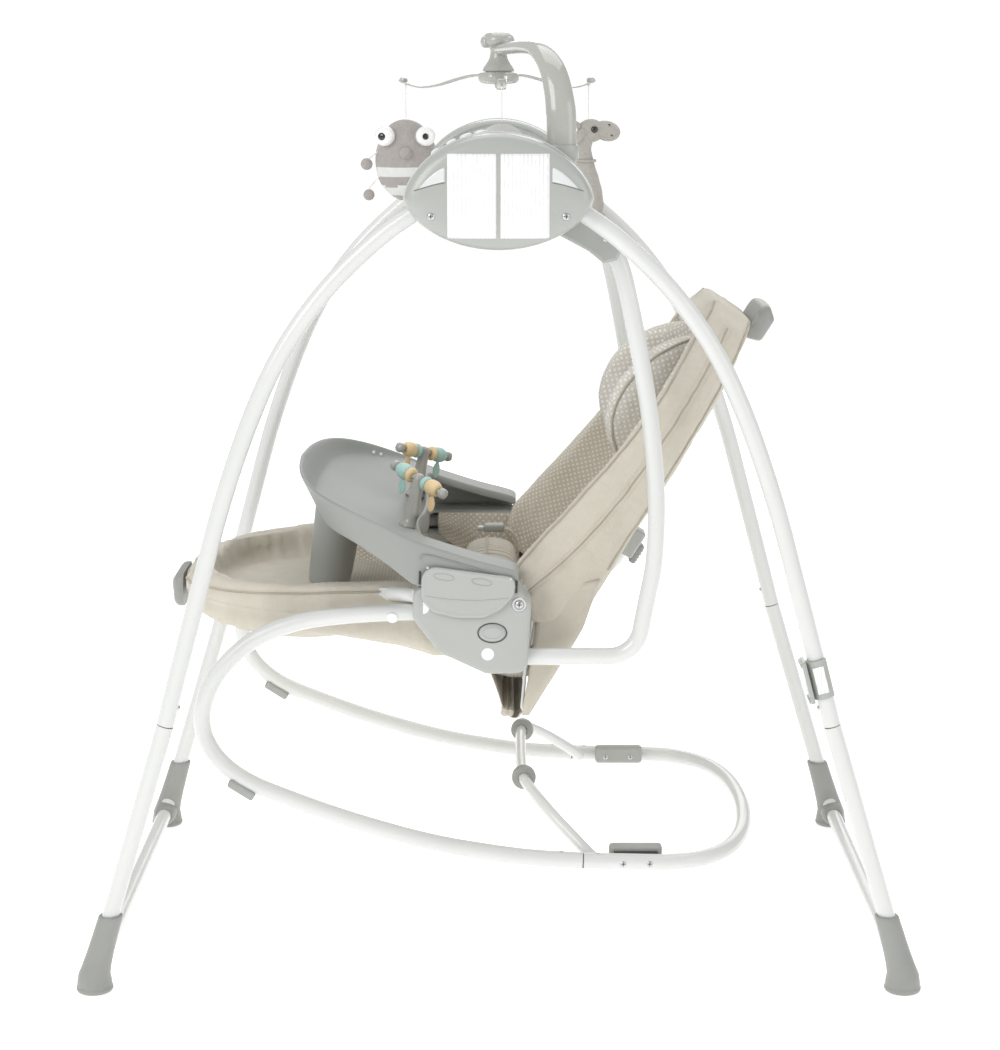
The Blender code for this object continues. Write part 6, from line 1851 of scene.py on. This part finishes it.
# vibration unit on the toe of the leg rest
sheet_outline = [(y, 0.397 + z) for y, z in softened([(-0.045, -0.019), (0.045, -0.019), (0.045, 0.021),
                                                      (-0.045, 0.021)], 0.012, 6)]
rings = []
for out, draw in ((0.0, 0.0), (0.55, 0.0), (0.80, 0.0010), (0.94, 0.0032), (1.0, 0.0064)):
    ring = []
    for y, z in sheet_outline:
        y, z = y * (1 - draw / 0.045), 0.397 + (z - 0.397) * (1 - draw / 0.020)
        bulge = 0.0125 * (1 - (abs(y) / 0.054) ** 4) + 0.0030
        ring.append(Vector((-0.3738 - bulge * out * (1 - 0.25 * ((z - 0.397) / 0.020) ** 2), y, z)))
    rings.append(ring)
solid("vibration_unit_shell", *join_rings(rings), boot_plastic, "seat", "vibration_unit", sharp=50)
turned("vibration_unit_key", (-0.3888, 0, 0.397), (-1, 0, 0),
       [(0.0090, 0), (0.0090, 0.0016), (0.0082, 0.0022), (0, 0.0024)], hub_plastic, "seat")

# clip that keeps the folded legs together, with a plain label
seam, way = leg_seam["rear", "near"]
way = way.normalized()
mid = seam - way * 0.055
across_leg = way.cross(NORTH).normalized()
if across_leg.x > 0:
    across_leg = -across_leg
jaw = [(TUBE + (0.0029 if out else 0.0009), math.radians(35 + 290 * k / 32)) for out in (1, 0)
       for k in (range(33) if out else range(32, -1, -1))]


def jaw_point(along, draw, r, a):
    """Point of the clip's jaw; draw takes the outer corner off at each end."""
    r -= draw * (r > TUBE + 0.002)
    return mid + way * along - across_leg * (r * math.cos(a)) + NORTH * (r * math.sin(a))


rings = [[jaw_point(along, draw, r, a) for r, a in jaw]
         for along, draw in ((-0.022, 0.0007), (-0.0213, 0.0), (0.0213, 0.0), (0.022, 0.0007))]
solid("leg_clip_jaw", *join_rings(rings), hub_plastic, "stand", "leg_clip", sharp=40)
block("leg_clip_plate", mid + across_leg * 0.0145, way, across_leg, (0.048, 0.028, 0.005), hub_plastic,
      "stand", edge=0.0018)
for k in (-1, 1):
    block("leg_clip_lip_%d" % k, mid + across_leg * 0.0165 + way * (0.0205 * k), NORTH, across_leg,
          (0.027, 0.0042, 0.0048), hub_plastic,
          "stand", edge=0.0012)
block("leg_clip_label", mid - NORTH * (TUBE + 0.0032) + across_leg * 0.001, way, NORTH,
      (0.030, 0.012, 0.0005), label_paper, "stand", edge=0.0002)

# ---------------------------------------------------------------- loose cloth
# Single layers of cloth between seat and backrest: the dotted hip cover, and
# the pouch that hangs behind the seat on a thin bent wire.
def layer(name, rows, finishes, kind=lambda j, i: 0, ply=0.0011):
    """One ply of cloth through rows of points, with a cloth map in metres."""
    n = len(rows[0])
    verts = [p for row in rows for p in row]
    faces = [(j * n + i, j * n + i + 1, (j + 1) * n + i + 1, (j + 1) * n + i)
             for j in range(len(rows) - 1) for i in range(n - 1)]
    mesh = bpy.data.meshes.new(name)
    mesh.from_pydata([tuple(v) for v in verts], [], faces)
    for made in finishes:
        mesh.materials.append(made.material)
    mid = n // 2
    down = [0.0]
    for a, b in zip(rows, rows[1:]):
        down.append(down[-1] + (b[mid] - a[mid]).length)
    along = []
    for row in rows:
        run = [0.0]
        for a, b in zip(row, row[1:]):
            run.append(run[-1] + (b - a).length)
        along.append([r - run[mid] for r in run])
    chart = mesh.uv_layers.new(name="cloth")
    for face in mesh.polygons:
        face.use_smooth = True
        for corner in face.loop_indices:
            j, i = divmod(mesh.loops[corner].vertex_index, n)
            chart.data[corner].uv = (down[j], along[j][i])
    piece = bpy.data.objects.new(name, mesh)
    scene.collection.objects.link(piece)
    wall = piece.modifiers.new("ply", "SOLIDIFY")
    wall.thickness, wall.offset = ply, 0.0
    return made_final(piece)


def hang(line, k):
    """The point at share k along a list of (x, z) pairs."""
    t = k * (len(line) - 1)
    i = min(int(t), len(line) - 2)
    return tuple(a + (b - a) * (t - i) for a, b in zip(line[i], line[i + 1]))


# dotted cover over the gap at the hips
hip_line = eased([(-0.012, 0.3405), (0.010, 0.3385), (0.030, 0.3395), (0.046, 0.348), (0.057, 0.366),
                  (0.068, 0.390),
                  (0.0785, 0.4115), (0.088, 0.431)], 4)
rows = []
for j, (x, z) in enumerate(hip_line):
    row = []
    for i in range(61):
        t = i / 30 - 1
        ease = 0.0012 * noise.noise(Vector((t * 9, j * 0.3, 3.0))) + 0.014 * max(0.0,
                                                                abs(t) - 0.80) ** 2 / 0.04
        row.append(Vector((x - 0.55 * ease, 0.164 * t, z + ease)))
    rows.append(row)
hip = layer("hip_cover", rows, [dotted_cotton])
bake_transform(hip, "seat", "back", (0.020, 0, 0.335), (0.080, 0, 0.425))

# dotted cloth that lines the inner face of each housing
for side, sy in SIDES:
    rows = []
    for j in range(31):
        row = []
        for i in range(34):
            x = -0.0775 + 0.104 * i / 33
            low = max(0.3560, 0.4200 - 0.78 * (x + 0.0775))
            z = low + (0.4465 - low) * j / 30
            slack = max(0.0, min(1.0, (0.012 - x) / 0.030)) * math.sin(math.pi * j / 30)
            puff = noise.noise(Vector((x * 32, z * 26, sy * 4.0)))
            row.append(Vector((x, sy * (0.2030 - (0.0065 + 0.0035 * puff) * slack), z)))
        rows.append(row)
    lining = layer("hip_lining_" + side, rows, [dotted_cotton])
    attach(lining, "seat")

# pouch: rear panel and both gussets in one piece
rear_line = [(0.1250, 0.4440), (0.1080, 0.4130), (0.0925, 0.3830), (0.0760, 0.3560), (0.0600, 0.3290),
             (0.0460, 0.3070), (0.0345, 0.2895)]
front_line = [(0.0480, 0.4340), (0.0430, 0.4080), (0.0400, 0.3820), (0.0365, 0.3560), (0.0325, 0.3290),
              (0.0285, 0.3070), (0.0258, 0.2895)]
rows = []
for j in range(33):
    k = j / 32
    (xr, zr), (xf, zf) = hang(rear_line, k), hang(front_line, k)
    deep = max(xr - xf, 0.004)
    tuck = 0.0085 * max(0.0, 1 - k / 0.42) ** 0.5 - 0.0005
    turn = min(0.010, deep * 0.45)
    half = [(xf + (xr - turn - xf) * q, 0.2035) for q in (0, 0.17, 0.34, 0.5, 0.67, 0.84)]
    half += [(xr - turn + turn * math.sin(a), 0.2035 - turn + turn * math.cos(a))
             for a in (0.0, 0.4, 0.8, 1.2, 1.57)]
    half += [(xr, (0.2035 - turn) * (1 - q)) for q in (0.06, 0.12, 0.2, 0.28, 0.36, 0.44, 0.52, 0.6, 0.68,
                                                       0.76, 0.84, 0.92, 1.0)]
    row = []
    for sy, part in ((-1, half), (1, half[-2::-1])):
        for x, y in part:
            share = (x - xf) / deep
            z = zf + (zr - zf) * share
            fold = noise.noise(Vector((x * 22 + sy * 3, y * 10,
                                       z * 9))) + 0.5 * noise.noise(Vector((x * 50, sy * y * 26,
                                                                z * 20 + 7)))
            bow = math.sin(math.pi * k)
            if y > 0.19:
                row.append(Vector((x - 0.010 * share * max(0.0, 1 - k / 0.3),
                                   sy * (y - tuck - 0.0030 * bow * k - 0.0020 * abs(fold) * bow * k), z)))
            else:
                row.append(Vector((x + (0.0030 * fold + 0.002) * (0.3 + bow) * k - 0.009 * max(0.0,
                                                                1 - k / 0.3), sy * y, z)))
    rows.append(row)
pouch = layer("pouch_back", rows, [beige_twill])
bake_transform(pouch, "seat", "back", (0.040, 0, 0.300), (0.110, 0, 0.425))

# pouch: front panel with its bunched hem
front_panel = eased([(-0.0110, 0.3420), (-0.0085, 0.3330), (-0.0040, 0.3200), (0.0005, 0.3070),
                     (0.0035, 0.2955), (0.0080, 0.2865),
                     (0.0160, 0.2820), (0.0240, 0.2825), (0.0275, 0.2865)], 4)
rows = []
for j, (x, z) in enumerate(front_panel):
    k = j / (len(front_panel) - 1)
    row = []
    for i in range(81):
        t = i / 40 - 1
        ruffle = noise.noise(Vector((t * 11, k * 2.5, 9.0))) + 0.6 * noise.noise(Vector((t * 27, k * 5,
                                                                2.0)))
        row.append(Vector((x - 0.0028 * ruffle * (0.2 + k), (0.189 - 0.004 * math.sin(math.pi * k)) * t,
                           z + 0.0022 * ruffle * k)))
    rows.append(row)
skirt = layer("pouch_front", rows, [beige_twill])
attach(skirt, "seat")
for k, dx, dz in ((0, 0.0, 0.0), (1, 0.0062, -0.0014)):
    hem = [Vector((0.0075 + dx + 0.0014 * noise.noise(Vector((y * 60, k, 1.0))), y,
                   0.2895 + dz + 0.0016 * noise.noise(Vector((y * 45, 5.0, k)))))
           for y in (-0.1905 + 0.381 * i / 90 for i in range(91))]
    roll = bent_tube.grow("pouch_hem_roll_%d" % k, path_mesh(hem), Radius=0.0046 - 0.0008 * k, Facets=14,
                          Finish=beige_twill.material)
    tube_map(roll, hem)
    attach(roll, "seat")

# wire that spreads the pouch
bend = [Vector((0.0345, 0.196, 0.412)), Vector((0.0375, 0.196, 0.398)), Vector((0.0300, 0.196, 0.340)),
        Vector((0.0262, 0.196, 0.2945))]
wire = rounded_corner(bend[0], bend[1], bend[2], 0.010, 6)[:]
wire = [bend[0]] + wire + [bend[2]] + rounded_corner(bend[2], bend[3], Vector((0.0262, 0.0, 0.2885)),
                                                     0.010, 8)
wire = wire + [Vector((p.x, -p.y, p.z)) for p in wire[::-1]]
tube("pouch_wire", wire, 0.0021, white_paint, "seat", facets=16)

# waist pad and its buckle, lying in the seat
sections = []
for x, top in ((-0.0405, 0.4360), (-0.0400, 0.4395), (-0.0380, 0.4440), (-0.0330, 0.4490),
               (-0.0250, 0.4525), (-0.0140, 0.4545), (-0.0020, 0.4540),
               (0.0080, 0.4515), (0.0150, 0.4475), (0.0185, 0.4430), (0.0195, 0.4390)):
    ring = [Vector((x, 0.052 * math.copysign(abs(math.cos(a)) ** 0.7, math.cos(a)) - 0.012,
                    (top + 0.345) / 2 + (top - 0.345) / 2 * math.copysign(abs(math.sin(a)) ** 0.75,
                                                                math.sin(a)))) for a in (math.tau * i / 40
                                                                for i in range(40))]
    sections.append(ring)
striped = woven("striped_waist_cotton", (0.50, 0.455, 0.375), (0.64, 0.59, 0.50), 0.0009, 0.2)
band = striped.node("ShaderNodeTexWave", {"bands_direction": "Y"}, Vector=striped.cloth, Scale=62.0)
striped.set(Base_Color=striped.tint(striped.ramp(band, (0.35, 0.0), (0.65, 1.0)) * 0.6, striped.ground,
                                    (0.76, 0.72, 0.64)),
            Normal=striped.relief(band, 0.0012, striped.bump))
waist = swell(skinned("waist_pad", sections, striped), 0.0045, 3.0, 0.0040)
cloth_map(waist, lambda p, n, zone: (p.z, p.y, 0, 0) if abs(n.x) > 0.5 else (p.x, p.y, 0, 0))
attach(waist, "seat")
piping("waist_pad_piping", waist, [sections[5][i] for i in range(2, 19)], 0.0013, edge_binding, "seat")
block("waist_buckle", (-0.006, 0.075, 0.4520), EAST, UP, (0.026, 0.020, 0.009), boot_plastic, "seat",
      edge=0.0030)
block("waist_buckle_tongue", (-0.020, 0.075, 0.4510), EAST, UP, (0.014, 0.013, 0.005), hub_plastic, "seat",
      edge=0.0018)
webbing = [[Vector((x, 0.075 + sy * 0.0105, z)) for sy in (-1, -0.5, 0, 0.5, 1)] for x, z in
           eased([(0.006, 0.4520), (0.016, 0.4470), (0.022, 0.4320), (0.020, 0.4050), (0.014, 0.3800),
                  (0.010, 0.3600), (0.008, 0.3450)], 5)]
belt = layer("waist_webbing", webbing, [edge_binding], ply=0.0014)
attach(belt, "seat")

# ---------------------------------------------------------------- finish
# The outside box of this dressed model is measured.
low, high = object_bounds()
